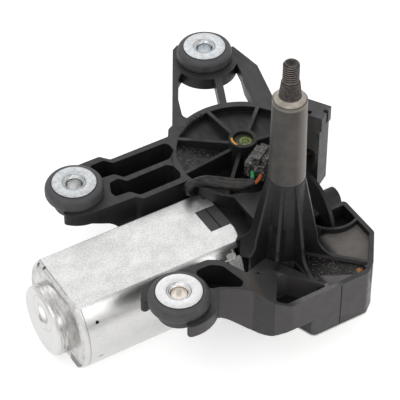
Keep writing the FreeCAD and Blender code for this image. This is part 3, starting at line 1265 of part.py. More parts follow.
def sleeve_entry():
    """The hole in the dome's wall that holds the sleeve's lower end."""
    end = Vector(*SLEEVE_ROUTE[-1])
    way = (end - Vector(*SLEEVE_ROUTE[-2])).normalize()
    return Part.makeCylinder(size.sleeve_wire_r + size.open_gap, 3.3, end - way * 3.0, way)


def gearbox_housing():
    """The moulding that carries everything."""
    shell = without(lifted(CASE_FACE, BASE, SKIN), lifted(CASE_INSIDE, BASE - 1.0, CEILING))
    web, pocket = tray_web()
    adds = [tray_walls(), front_skirt(), web, curved_rib(), carrier_wall(), bridge(), worm_end()]
    adds += dome() + spindle_post() + motor_flange()
    adds += [rib((-11.5, -17.5), (4.5, -33.0)), rib((-1.2, -26.0), (30.0, -33.0))]
    adds += [cylinder(size.screw_boss_r, BASE, CEILING + 0.5, spot) for spot in SCREWS]
    adds.append(by_tower(block(3.0, 22.0, 2.0, 9.5, SKIN - 1.0, RIM)))
    cuts = [pocket, dome_hollow(), right_draft()] + hub_cuts() + spindle_cuts() + motor_cuts() + worm_end_cuts()
    cuts += [cylinder(size.screw_r, BASE - 1.0, BASE + 9.0, spot) for spot in SCREWS]
    for arm in (left_arm, back_arm, front_arm):
        body, hollows = arm()
        adds.append(body)
        cuts += hollows
    for which in MOUNTS:
        disc, hollows = fork(which)
        adds.append(disc)
        cuts += hollows
    can_room = can_bar(size.can_r + 0.6, size.can_flat + 0.6, size.can_end_x, size.can_open_x)
    return without(joined(shell, *adds), can_room, can_tongue(0.1), sleeve_entry(), *cuts)


shaped("gearbox_housing", gearbox_housing())


# Bottom cover, gasket and screws

GASKET_LOW = BASE - size.gasket_t
FLANGE_LOW = GASKET_LOW - size.cover_t
PAN_LOW = size.pan_floor_z - size.cover_t
COVER_X0 = size.flange_x + 0.3


def pan_face():
    """The deep part of the cover, seen from above."""
    wheel_room = Part.Face(Part.Wire(Part.makeCircle(WHEEL_PITCH_R + 3.9, DOME)))
    link_room = Part.Face(rounded_outline([
        (-5.0, -12.0, 4.0), (3.0, -17.3, 4.0), (31.0, -17.3, 6.0), (38.0, -8.0, 6.0), (36.0, 30.0, 4.0),
        (40.0, 60.0, 0.0), (-6.0, 60.0, 0.0), (-6.0, 14.0, 4.0), (-11.5, 8.0, 4.0), (-11.5, -6.0, 4.0)]))
    return wheel_room.fuse(link_room).removeSplitter().Faces[0]


PAN_FACE = pan_face()
PAN_INSIDE = PAN_FACE.makeOffset2D(-size.cover_t, 0, False, False, False)


def cover_reliefs():
    """Room for the two bearing bosses that reach below the case, and a clear edge at the flange."""
    return [motor_cylinder(size.bearing_r + 2.8, size.flange_x - 5.0, size.flange_x + 9.0),
            motor_cylinder(6.2, size.right_x - 10.0, size.right_x + 3.0),
            block(-60.0, COVER_X0, 0.0, 90.0, PAN_LOW - 5.0, BASE + 1.0)]


def bottom_cover():
    """A pressed cover: a flange under the case and a deep pan under the gears."""
    flange_face = CASE_FACE.makeOffset2D(size.cover_lip, 0, False, False, False)
    flange = lifted(flange_face, FLANGE_LOW, GASKET_LOW)
    pan = lifted(PAN_FACE, PAN_LOW, GASKET_LOW)
    inside = lifted(PAN_INSIDE, size.pan_floor_z, BASE + 1.0)
    holes = [cylinder(size.screw_r + 0.2, FLANGE_LOW - 1.0, GASKET_LOW + 1.0, spot) for spot in SCREWS]
    return without(joined(flange, pan), inside, *cover_reliefs(), *holes)


def cover_gasket():
    """The seal between case and cover."""
    ring = without(lifted(CASE_FACE, GASKET_LOW, BASE), lifted(PAN_INSIDE, GASKET_LOW, BASE))
    holes = [cylinder(size.screw_r + 0.2, GASKET_LOW - 1.0, BASE + 1.0, spot) for spot in SCREWS]
    beads = without(ring, *cover_reliefs(), *holes).Solids
    return Part.makeCompound([bead for bead in beads if bead.Volume > 20.0])


def cover_screw(spot):
    """A pan-head screw with a cross recess left to the finish."""
    shank = cylinder(size.screw_r, FLANGE_LOW - 0.5, BASE + 8.0, spot)
    head = Part.makeCone(size.screw_head_r - 0.9, size.screw_head_r, 1.0, spot + UP * (FLANGE_LOW - 1.8))
    collar = cylinder(size.screw_head_r, FLANGE_LOW - 0.8, FLANGE_LOW, spot)
    return joined(shank, head, collar)


shaped("bottom_cover", bottom_cover())
shaped("cover_gasket", cover_gasket())
shaped("cover_screws", Part.makeCompound([cover_screw(spot) for spot in SCREWS]))


# Park contacts under the dome

CONTACT_Y0 = 44.0
CONTACT_Y1 = 54.0
shaped("park_contact_plate", block(13.0, 28.0, CONTACT_Y0, CONTACT_Y1, CEILING - 1.5, CEILING))


def contact_finger(x):
    """A brass finger that bends down towards the wheel's contact ring."""
    root_z = CEILING - 1.5
    tip_z = WHEEL_TOP + 0.4 + size.open_gap
    strip = 0.5
    corners = [(CONTACT_Y0 + 2.0, root_z), (CONTACT_Y1 - 3.0, root_z), (CONTACT_Y1 + 1.0, tip_z + strip),
               (CONTACT_Y1 + 3.0, tip_z + strip), (CONTACT_Y1 + 3.0, tip_z), (CONTACT_Y1 + 0.4, tip_z),
               (CONTACT_Y1 - 3.4, root_z - strip), (CONTACT_Y0 + 2.0, root_z - strip)]
    return upright(corners, x - 1.0, x + 1.0)


shaped("park_contact_fingers", Part.makeCompound([contact_finger(x) for x in (15.5, 20.5, 25.5)]))


# Connector housing, plug and wires

MOUTH_U = 16.6
MOUTH_Z = 9.6
MOUTH_RIM = 1.8
MOUTH_RISE = 0.5
MOUTH_DEPTH = 8.0
# Rim of the mouth, as (along the housing, height, rounding)
MOUTH_RIM_CORNERS = [(7.8, 19.6, 4.0), (25.4, 19.6, 4.0), (25.2, 10.0, 8.0), (20.4, -1.2, 3.0),
                     (12.8, -1.2, 3.0), (8.0, 10.0, 8.0)]


def mouth_bar(inset, near, far):
    """A bar of the mouth's shape through the near face of the connector housing."""
    flat = Part.Face(rounded_outline(MOUTH_RIM_CORNERS))
    if inset > 0.0:
        flat = flat.makeOffset2D(-inset, 0, False, False, False)
    flat.rotate(Vector(0, 0, 0), ALONG, 90.0)
    flat.translate(ACROSS * near)
    return flat.extrude(ACROSS * (far - near))


def connector_housing():
    """The upright connector housing with its mouth, lid lip and notch."""
    length, deep, top = size.tower_len, size.tower_deep, size.tower_top_z
    tower = block(0.0, length - 0.9, 0.0, deep, RIM, top)
    lid = block(0.0, length, 0.0, deep, top - 5.5, top)
    lip = block(length - 1.0, length, 0.0, deep, top - 8.5, top - 5.5)
    rim = mouth_bar(0.0, -MOUTH_RISE, 1.0)
    mouth = mouth_bar(MOUTH_RIM, -3.0, MOUTH_DEPTH)
    notch = block(length - 2.2, length + 1.0, 5.3, 7.7, top - 7.0, top + 1.0)
    key_hole = block(16.8, 19.2, 0.9, 3.4, top - 2.5, top + 1.0)
    socket = block(-1.0, 4.0, 1.0, 5.5, -3.5, 3.5)
    return by_tower(without(joined(tower, lid, lip, rim), mouth, notch, key_hole, socket))


shaped("connector_housing", connector_housing())
PIN_HALF = 0.4
shaped("connector_pins", Part.makeCompound([
    by_tower(block(MOUTH_U - PIN_HALF, MOUTH_U + PIN_HALF, MOUTH_DEPTH - 3.5, MOUTH_DEPTH, z - 1.1, z + 1.1))
    for z in (MOUTH_Z - 4.5, MOUTH_Z, MOUTH_Z + 4.5)]))


def wire_plug():
    """The plug that brings the motor's two wires into the connector housing's side."""
    body = block(-11.2, -0.2, -10.2, 4.5, -4.8, 4.0)
    step = block(-8.6, -0.2, -7.0, 4.5, 3.0, 6.5)
    latch = block(-6.8, -3.4, -9.4, 2.0, 6.0, 8.0)
    nose = block(-1.0, 3.6, 1.2, 5.3, -3.3, 3.3)
    return by_tower(joined(body, step, latch, nose))


shaped("wire_plug", wire_plug())

# Both wires start inside the sleeve and end inside the plug, and are cut off where they meet them
GREEN_ROUTE = [(8.0, 42.9, -2.2), (10.4, 45.6, -1.7), (12.5, 49.6, -1.0)]
ORANGE_ROUTE = [(8.2, 41.6, -2.6), (12.2, 41.6, -2.0), (15.2, 45.2, -1.0)]


def tube_along(route, radius):
    """A round solid along straight runs joined by tangent arcs, as large as the runs allow."""
    points = [Vector(*point) for point in route]
    edges = []
    start = points[0]
    for number in range(1, len(points) - 1):
        back = points[number - 1] - points[number]
        ahead = points[number + 1] - points[number]
        run = 0.45 * min(back.Length, ahead.Length)
        half = back.getAngle(ahead) / 2.0
        bend = run * math.tan(half)
        back.normalize()
        ahead.normalize()
        first = points[number] + back * run
        last = points[number] + ahead * run
        middle = points[number] + (back + ahead).normalize() * (bend / math.sin(half) - bend)
        edges.append(Part.makeLine(start, first))
        edges.append(Part.Arc(first, middle, last).toShape())
        print(f"bend {number}: radius {bend:.1f}")
        start = last
    edges.append(Part.makeLine(start, points[-1]))
    heading = points[1] - points[0]
    section = Part.Wire(Part.makeCircle(radius, points[0], heading))
    tube = Part.Wire(edges).makePipeShell([section], True, True)
    length = sum(edge.Length for edge in edges)
    print(f"length {length:.1f}, volume ratio {tube.Volume / (math.pi * radius ** 2 * length):.4f}")
    return tube


sleeve = tube_along(SLEEVE_ROUTE, size.sleeve_wire_r)
plug = wire_plug()
shaped("wire_sleeve", sleeve)
shaped("wire_green", without(tube_along(GREEN_ROUTE, size.wire_r), sleeve, plug))
shaped("wire_orange", without(tube_along(ORANGE_ROUTE, size.wire_r), sleeve, plug))


# Check and write

doc.recompute()
for thing in doc.Objects:
    if "Invalid" in thing.State or "Error" in thing.State:
        raise RuntimeError(f"{thing.Label} did not build: {thing.State}")
os.makedirs("parts", exist_ok=True)
for node in nodes:
    if node.Shape.isNull() or not node.Shape.isValid() or not node.Shape.Solids:
        raise RuntimeError(f"{node.Label} has no valid solid")
    node.Shape.exportStep(f"parts/{node.Label}.step")
    print(node.Label, len(node.Shape.Solids), round(node.Shape.Volume))
print(len(nodes), "pieces")
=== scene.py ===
# %% [markdown]
# # Rear wiper motor
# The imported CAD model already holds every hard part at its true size. This lesson dresses it: it gives each
# part its finish, and adds what is too fine for the CAD solids, such as the thread and the knurl of the
# spindle, the staked washers, the rubber of the mounts and the black sleeve round the wires.
# %% Load the CAD model
import math

import bmesh
import bpy
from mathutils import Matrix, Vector


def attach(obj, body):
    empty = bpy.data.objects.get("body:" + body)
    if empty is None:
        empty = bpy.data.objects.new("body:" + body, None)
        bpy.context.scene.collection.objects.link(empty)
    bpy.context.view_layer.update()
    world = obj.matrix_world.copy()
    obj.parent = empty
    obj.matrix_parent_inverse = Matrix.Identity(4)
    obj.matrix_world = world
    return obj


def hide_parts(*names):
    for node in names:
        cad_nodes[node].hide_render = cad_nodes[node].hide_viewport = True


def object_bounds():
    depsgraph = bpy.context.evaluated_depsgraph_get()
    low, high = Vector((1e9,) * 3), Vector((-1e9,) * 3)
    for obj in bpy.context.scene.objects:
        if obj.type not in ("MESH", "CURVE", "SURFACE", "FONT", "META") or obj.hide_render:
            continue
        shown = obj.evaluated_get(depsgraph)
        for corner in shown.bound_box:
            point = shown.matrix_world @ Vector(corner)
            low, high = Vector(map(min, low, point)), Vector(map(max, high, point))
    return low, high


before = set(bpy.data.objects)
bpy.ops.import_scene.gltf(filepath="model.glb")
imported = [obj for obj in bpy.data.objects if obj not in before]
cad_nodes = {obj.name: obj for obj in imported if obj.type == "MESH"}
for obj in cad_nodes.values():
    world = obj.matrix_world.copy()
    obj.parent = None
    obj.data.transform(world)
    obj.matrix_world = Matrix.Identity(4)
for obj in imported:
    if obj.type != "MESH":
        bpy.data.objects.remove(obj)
cad_low, cad_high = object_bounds()
MM = 0.001
print(f"{len(cad_nodes)} CAD nodes, from {tuple(cad_low)} to {tuple(cad_high)}")

# %% [markdown]
# The camera comes first, because everything is judged through it. A long lens at some distance was found
# from the ellipses of the three washers and the straight edges of the motor can. The camera looks down by
# 43 degrees from the front left.
# %% Camera
scene = bpy.context.scene


def add_object(name, data):
    """A new object in the scene, with a mesh, a lamp or a camera as its data."""
    thing = bpy.data.objects.new(name, data)
    scene.collection.objects.link(thing)
    return thing


def aim(thing, place, way):
    """Places a camera or a lamp, which looks in a direction."""
    thing.location = place
    thing.rotation_mode = "QUATERNION"
    thing.rotation_quaternion = Vector(way).to_track_quat("-Z", "Y")


optics = bpy.data.cameras.new("camera")
optics.sensor_width = 36.0
optics.lens = 174.6
optics.clip_start = 0.01
camera = add_object("camera", optics)
aim(camera, (-0.3869, -0.5632, 0.6710), (0.3736, 0.6218, -0.6884))
scene.camera = camera
scene.view_settings.view_transform = "Standard"

# %% [markdown]
# A material is a small graph of nodes. Written node by node, the graph hides the idea behind it, so three
# short classes let Python's own arithmetic build it. `Socket` is a value that flows through the graph,
# `Graph` is any tree of nodes, and `Recipe` is one material, which ends in a Principled shader.
# %% Node arithmetic
class Socket:
    """A value in a tree of nodes. Sums and products with it add Math nodes."""

    def __init__(self, graph, link):
        self.graph = graph
        self.link = link

    def maths(self, operation, *others):
        return self.graph.node("ShaderNodeMath", dict(enumerate((self,) + others)), operation=operation)

    def __add__(self, other):
        return self.maths("ADD", other)

    def __sub__(self, other):
        return self.maths("SUBTRACT", other)

    def __rsub__(self, other):
        return self.graph.node("ShaderNodeMath", {0: other, 1: self}, operation="SUBTRACT")

    def __mul__(self, other):
        return self.maths("MULTIPLY", other)

    def __truediv__(self, other):
        return self.maths("DIVIDE", other)

    __radd__ = __add__

    def step(self, low, high):
        """0 below low, 1 above high, and a smooth rise between them."""
        return self.graph.node("ShaderNodeMapRange", {"Value": self, "From Min": low, "From Max": high},
                               interpolation_type="SMOOTHSTEP")

    def fall(self, low, high):
        """1 below low, 0 above high, and a smooth fall between them."""
        return 1.0 - self.step(low, high)

    def near(self, centre, half, soft=0.15):
        """1 within half of a centre, 0 outside, with a soft edge."""
        return (self - centre).maths("ABSOLUTE").fall(half - soft, half + soft)

    def capped(self):
        """The value, or 1 where it is larger."""
        return self.maths("MINIMUM", 1.0)

    def under(self, mask, cover):
        """This colour, covered by another one where the mask is 1."""
        return self.graph.mix(mask, self, cover)


class Graph:
    """A tree of nodes."""

    def __init__(self, tree):
        self.tree = tree

    def node(self, kind, values=None, output=0, **settings):
        """Adds a node with its settings, and then the values or links of its sockets."""
        made = self.tree.nodes.new(kind)
        for name, setting in settings.items():
            setattr(made, name, setting)
        for key, value in (values or {}).items():
            if isinstance(value, Socket):
                self.tree.links.new(value.link, made.inputs[key])
            else:
                made.inputs[key].default_value = value
        return Socket(self, made.outputs[output])

    def link(self, value, socket):
        """Joins a value to a socket that may take several."""
        self.tree.links.new(value.link, socket)

    def split(self, vector):
        """The three parts of a vector."""
        return [self.node("ShaderNodeSeparateXYZ", {0: vector}, letter) for letter in "XYZ"]


class Recipe(Graph):
    """One material, built from nodes."""

    def __init__(self, name):
        self.material = bpy.data.materials.new(name)
        self.material.use_nodes = True
        super().__init__(self.material.node_tree)
        self.tree.nodes.clear()

    def here(self):
        """The point on the surface, in millimetres of the part's own frame."""
        coordinates = self.node("ShaderNodeTexCoord", output="Object")
        return self.node("ShaderNodeVectorMath", {0: coordinates, "Scale": 1.0 / MM}, operation="SCALE")

    def axes(self):
        """The three coordinates of the point, in millimetres."""
        return self.split(self.here())

    def noise(self, grain, detail=3.0, roughness=0.55, stretch=(1.0, 1.0, 1.0)):
        """Soft noise with a grain of a given size in millimetres."""
        place = self.node("ShaderNodeMapping", {"Vector": self.here(), "Scale": stretch})
        return self.node("ShaderNodeTexNoise", {"Vector": place, "Scale": 1.0 / grain, "Detail": detail,
                                                "Roughness": roughness})

    def cells(self, grain):
        """Cells of a given size in millimetres, dark at their middles."""
        return self.node("ShaderNodeTexVoronoi", {"Vector": self.here(), "Scale": 1.0 / grain})

    def mix(self, mask, first, second):
        """The first colour where the mask is 0, the second where it is 1. Text stands for a web colour."""
        first, second = [paint(colour) if isinstance(colour, str) else colour for colour in (first, second)]
        return self.node("ShaderNodeMix", {0: mask, 6: first, 7: second}, 2, data_type="RGBA")

    def bump(self, height, depth, **base):
        """A bump of a given depth in millimetres. With Normal=... it lies on another one."""
        return self.node("ShaderNodeBump", {"Height": height, "Distance": depth * MM, **base})

    def end(self, shader):
        """Joins a shader to the output and returns the material."""
        self.link(shader, self.tree.nodes.new("ShaderNodeOutputMaterial").inputs["Surface"])
        return self.material

    def finish(self, **sockets):
        """Sets the Principled shader's sockets and returns the material."""
        values = {name.replace("_", " "): value for name, value in sockets.items()}
        return self.end(self.node("ShaderNodeBsdfPrincipled", values))


def paint(code):
    """A colour written as on a web page, turned into Blender's linear values."""
    parts = [int(code[i:i + 2], 16) / 255.0 for i in (1, 3, 5)]
    return tuple(p / 12.92 if p <= 0.04045 else ((p + 0.055) / 1.055) ** 2.4 for p in parts) + (1.0,)


print("mid grey is", paint("#808080")[:3])

# %% [markdown]
# Product photographs of this kind stand on a white table under large soft lamps. The table is a plain pale
# disc. It keeps the shadow of the object, and gains a little brightness of its own only where the camera or
# a shiny surface looks at it.
# %% Floor
WHITE = (1.0, 1.0, 1.0, 1.0)


def seen_directly(graph):
    """1 for rays from the camera and for rays that a shiny or clear surface sends on."""
    rays = [graph.node("ShaderNodeLightPath", output=name)
            for name in ("Is Camera Ray", "Is Glossy Ray", "Is Transmission Ray")]
    return rays[0].maths("MAXIMUM", rays[1]).maths("MAXIMUM", rays[2])


def floor_material():
    recipe = Recipe("white_table")
    diffuse = recipe.node("ShaderNodeBsdfDiffuse", {"Color": (0.82, 0.82, 0.82, 1.0)})
    glow = recipe.node("ShaderNodeEmission", {"Color": WHITE, "Strength": seen_directly(recipe) * 0.5})
    return recipe.end(recipe.node("ShaderNodeAddShader", {0: diffuse, 1: glow}))


def disc(name, radius, height, corners=64):
    mesh = bpy.data.meshes.new(name)
    turns = [i * math.tau / corners for i in range(corners)]
    mesh.from_pydata([(radius * math.cos(t), radius * math.sin(t), height) for t in turns], [],
                     [list(range(corners))])
    return add_object(name, mesh)


floor = disc("floor", 3.0, cad_low.z - 0.0002)
floor.data.materials.append(floor_material())
print("floor at", round(floor.data.vertices[0].co.z / MM, 1), "mm")

# %% [markdown]
# Three large lamps light the part: a key lamp from the upper left, one from behind, and a soft box low at
# the front, whose reflection is the bright band along the motor can. The world is white for whatever looks at
# it directly and dimmer as a lamp. Shiny metal in a white room looks flat, so studios set up black cards:
# only a shiny surface sees the one here, and it gives the can its dark streak.
# %% Lamps and world
def lamp(name, place, size, power):
    """A square lamp that shines on the part's middle."""
    data = bpy.data.lights.new(name, "AREA")
    data.size = size
    data.energy = power
    aim(add_object(name, data), place, PART_MIDDLE - Vector(place))


def black_card(name, place, wide, high):
    """An upright card that faces the part and is seen by shiny surfaces alone."""
    side = Vector((-place[1], place[0], 0.0)).normalized() * (wide / 2.0)
    foot = Vector(place)
    top = foot + Vector((0.0, 0.0, high))
    mesh = bpy.data.meshes.new(name)
    mesh.from_pydata([foot - side, foot + side, top + side, top - side], [], [(0, 1, 2, 3)])
    mesh.materials.append(Recipe(name).finish(Base_Color=(0.01, 0.01, 0.01, 1.0), Roughness=1.0,
                                              Specular_IOR_Level=0.0))
    card = add_object(name, mesh)
    for rays in ("camera", "diffuse", "shadow", "transmission"):
        setattr(card, f"visible_{rays}", False)


PART_MIDDLE = Vector((-0.02, 0.05, 0.0))
lamp("key_lamp", (-0.9, -0.5, 1.3), 1.0, 5.0)
lamp("back_lamp", (0.5, 1.3, 1.0), 1.0, 2.5)
lamp("front_box", (0.5, -1.25, 0.75), 0.5, 2.0)
black_card("black_card", (0.205, -0.86, cad_low.z), 0.43, 0.16)

world = bpy.data.worlds.new("studio")
world.use_nodes = True
scene.world = world
sky = Graph(world.node_tree)
background = world.node_tree.nodes["Background"].inputs
background["Color"].default_value = WHITE
sky.link(seen_directly(sky) * 0.3 + 0.7, background["Strength"])

# %% [markdown]
# The housing and the connector are moulded in black glass-filled plastic. Such plastic is a very dark grey
# with a fine spark-eroded grain and a soft gloss. Dust, wear and painted light and shade depend on the
# surface's slope and on the place, so masks are made from the normal and from the coordinates.
# %% Moulded black plastic
# The middle of the hub, and heights of level surfaces of the moulding, in millimetres
HUB = (20.5, 71.5)
RIM_Z, PANEL_Z, FRONT_FLOOR_Z, POCKET_Z, DEEP_POCKET_Z, HUB_FLOOR_Z = -8.0, -11.2, -10.2, -11.7, -17.0, -2.6


def slopes(recipe):
    """The three parts of the surface's own direction."""
    return recipe.split(recipe.node("ShaderNodeNewGeometry", output="Normal"))


def slope_up(recipe):
    """1 on a surface that faces up, 0 on a wall."""
    return slopes(recipe)[2].step(0.55, 0.95)


def rounded(recipe, radius):
    """The surface's direction with its sharp edges rounded by a radius in millimetres."""
    return recipe.node("ShaderNodeBevel", {"Radius": radius * MM}, samples=4)


def distance(first, second, centre):
    """How far the point is from a centre, by two of its coordinates."""
    squares = [(axis - place).maths("POWER", 2.0) for axis, place in zip((first, second), centre)]
    return (squares[0] + squares[1]).maths("SQRT")


def along(first, second, start, way):
    """How far the point has gone from a start in a direction, by two of its coordinates."""
    return (first - start[0]) * way[0] + (second - start[1]) * way[1]


def clouds(recipe):
    """Slow patches between 0 and 1, as on a moulding that was handled."""
    return recipe.noise(14.0, 4.0, 0.6).step(0.35, 0.75)


def housing_material():
    recipe = Recipe("housing_plastic")
    x, y, z = recipe.axes()
    up = slope_up(recipe)
    cloud = clouds(recipe)
    patchy = 0.65 + cloud * 0.35
    # Level surfaces are painted darker than the walls, as painted shade on the floors of the pockets
    colour = recipe.mix(up, recipe.mix(cloud, "#1a1a1b", "#242425"), recipe.mix(cloud, "#0f0f10", "#171718"))
    # The tops of the walls and arms are painted lighter, partly as dulling by handling and partly as a
    # painted sheen
    rim = up * z.near(RIM_Z, 0.8, 0.3)
    colour = colour.under(rim * patchy, "#3a3939")
    # The rim of the long front wall is lighter still, with wear and a painted highlight on its edge
    worn = rim * y.fall(-32.5, -31.5) * x.near(-3.0, 12.0, 4.0)
    colour = colour.under(worn * (0.6 + recipe.noise(2.0) * 0.6), "#6a6868")
    # Walls that face the front are painted lighter as painted light
    front = (0.0 - slopes(recipe)[1]).step(0.25, 0.6) * y.fall(-10.0, -6.0) * z.fall(-8.3, -7.8)
    colour = colour.under(front * (0.8 + cloud * 0.2), "#4a4748")
    # The level panel right of the cone has a dust haze with a painted reflection, and the floor in front of
    # it is painted black as painted shade, with a grey edge of painted light
    panel = z.near(PANEL_Z, 0.4, 0.2) * up * x.step(19.0, 24.0) * y.near(-15.0, 14.0, 1.0)
    colour = colour.under((panel * (0.55 + recipe.noise(5.0, 4.0, 0.6) * 0.8)).capped(), "#6b6663")
    # The front floor is painted black as painted shade
    front_floor = z.near(FRONT_FLOOR_Z, 0.3, 0.2) * up
    # Its front part is painted grey as painted light
    to_front = along(x, y, (6.2, -23.8), (-0.476, -0.879))
    crescent = front_floor * to_front.step(0.2, 1.6) * x.step(4.6, 7.0)
    colour = colour.under(front_floor, "#060606").under(crescent * patchy, "#6d696a")
    # Dust lies in the pockets of the dome and on the web beside the cone, and crumbs on the front floor
    angle = (y - HUB[1]).maths("ARCTAN2", x - HUB[0])
    in_pocket = angle.near(math.radians(158.0), math.radians(21.0), 0.03) * z.near(POCKET_Z, 0.5)
    patches = recipe.noise(1.7, 5.0, 0.75).step(0.5, 0.62)
    colour = colour.under(in_pocket * patches * up * 0.8, "#56534f")
    web = (-28.2, -15.5)
    on_web = along(x, y, web, (0.22, 0.98)).near(0.0, 14.0, 3.0)
    on_web = on_web * along(x, y, web, (0.98, -0.22)).near(0.5, 2.6, 0.8) * z.near(RIM_Z, 1.0)
    colour = colour.under(on_web * recipe.noise(0.9, 4.0, 0.75).step(0.42, 0.56) * 0.9, "#473d37")
    crumbs = recipe.noise(0.5, 2.0, 0.6).step(0.62, 0.68) * (1.0 - crescent)
    colour = colour.under(front_floor * crumbs, "#8f8378")
    # Marks of assembly: green rings in the hub's recess, an orange dab beside it, and a speck at the front
    reach = distance(x, y, HUB)
    low = z.near(HUB_FLOOR_Z, 0.3)
    colour = colour.under(low * reach.fall(5.2, 5.6), "#45483a")
    from_ink = distance(x, y, (22.0, 71.3))
    ring_ink = from_ink.near(2.7, 0.55, 0.3) * recipe.noise(1.1).step(0.36, 0.5)
    ring_ink = ring_ink + from_ink.near(0.8, 0.5, 0.3) * recipe.noise(0.8).step(0.42, 0.55)
    colour = colour.under((ring_ink * low).capped(), "#8fa653")
    dab = reach.near(5.9, 0.5, 0.2) * x.fall(17.2, 17.9) * y.near(71.8, 2.9, 0.3) * z.near(-0.9, 1.8)
    colour = colour.under(dab * recipe.noise(0.7).step(0.32, 0.42), "#eda53c")
    speck = distance(x, y, (24.0, -31.2)).fall(1.2, 2.2) * recipe.noise(0.8).step(0.42, 0.5)
    colour = colour.under(speck * z.near(-9.3, 1.7), "#b87438")
    grain = recipe.bump(recipe.noise(0.35, 2.0, 0.6), 0.03, Normal=rounded(recipe, 0.45))
    waves = recipe.bump(recipe.noise(9.0, 2.0, 0.5), 0.12, Normal=grain)
    scratch = recipe.noise(2.5, 2.0, 0.5, (1.0, 0.25, 1.0)).step(0.3, 0.7)
    return recipe.finish(Base_Color=colour, Roughness=0.36 + scratch * 0.14 + up * 0.06, Normal=waves,
                         Specular_IOR_Level=0.32)


def black_part(name, dark, light, rough, grain_size=0.35):
    recipe = Recipe(name)
    return recipe.finish(Base_Color=recipe.mix(clouds(recipe), dark, light),
                         Roughness=rough + recipe.noise(6.0) * 0.12,
                         Normal=recipe.bump(recipe.noise(grain_size, 2.0, 0.6), 0.03))


def dress(material, names):
    """Gives one or more CAD nodes a better material."""
    for name in names.split():
        for place in cad_nodes[name].material_slots:
            place.material = material


housing_finish = housing_material()
dress(housing_finish, "gearbox_housing")
dress(black_part("brush_plate", "#242426", "#303032", 0.38), "brush_holder park_contact_plate")
print("housing dressed")

# %% [markdown]
# The upright connector housing is the same plastic, but its top shows a paler patch worn by handling and its
# upward faces are painted lighter as painted light. The small plug on its side is grey with dust.
# %% Connector and plug
def connector_material():
    recipe = Recipe("connector_plastic")
    x, y, _ = recipe.axes()
    turn = math.radians(-58.0)
    worn = along(x, y, (23.6, 47.7), (math.cos(turn), math.sin(turn))).near(25.0, 3.2, 2.0)
    worn = worn * recipe.noise(5.0).step(0.3, 0.62) * 0.8
    colour = recipe.mix(clouds(recipe), "#262628", "#323234").under(worn, "#4a4744")
    # Upward faces are painted lighter as painted light
    return recipe.finish(Base_Color=colour.under(slope_up(recipe) * 0.35, "#3a3a3c"),
                         Roughness=0.44 + recipe.noise(4.0) * 0.15,
                         Normal=recipe.bump(recipe.noise(0.4, 2.0, 0.6), 0.035))


def plug_material():
    recipe = Recipe("dusty_plug")
    dust = recipe.noise(1.3, 5.0, 0.75).step(0.48, 0.6)
    return recipe.finish(Base_Color=recipe.mix(dust * 0.9, "#101011", "#8b8782"),
                         Roughness=0.45 + dust * 0.3,
                         Normal=recipe.bump(recipe.noise(0.7, 4.0, 0.7), 0.25))


dress(connector_material(), "connector_housing")
dress(plug_material(), "wire_plug")

# %% [markdown]
# The motor can is drawn from zinc-plated sheet. The plating froze in small crystals, which a noise bump at
# the scale of a millimetre gives back, and the rolled sides are smoother than the flats. The seam of the
# closed end and the ground lip at the open end are finish only. Two nicks in the closed end's edge, its
# drawn-in edge and a tab bent over it are drawn as painted shade, and its raised nub has a painted
# highlight and painted shade.
# %% Zinc-plated can
# The nub's middle on the closed end, as (y, z), and each nick's middle, as (x, y), with two squared reaches
NUB = (38.6, -28.0)
NICKS = (((-107.0, 58.6), 0.2, 1.0), ((-106.0, 54.0), 0.3, 1.3))


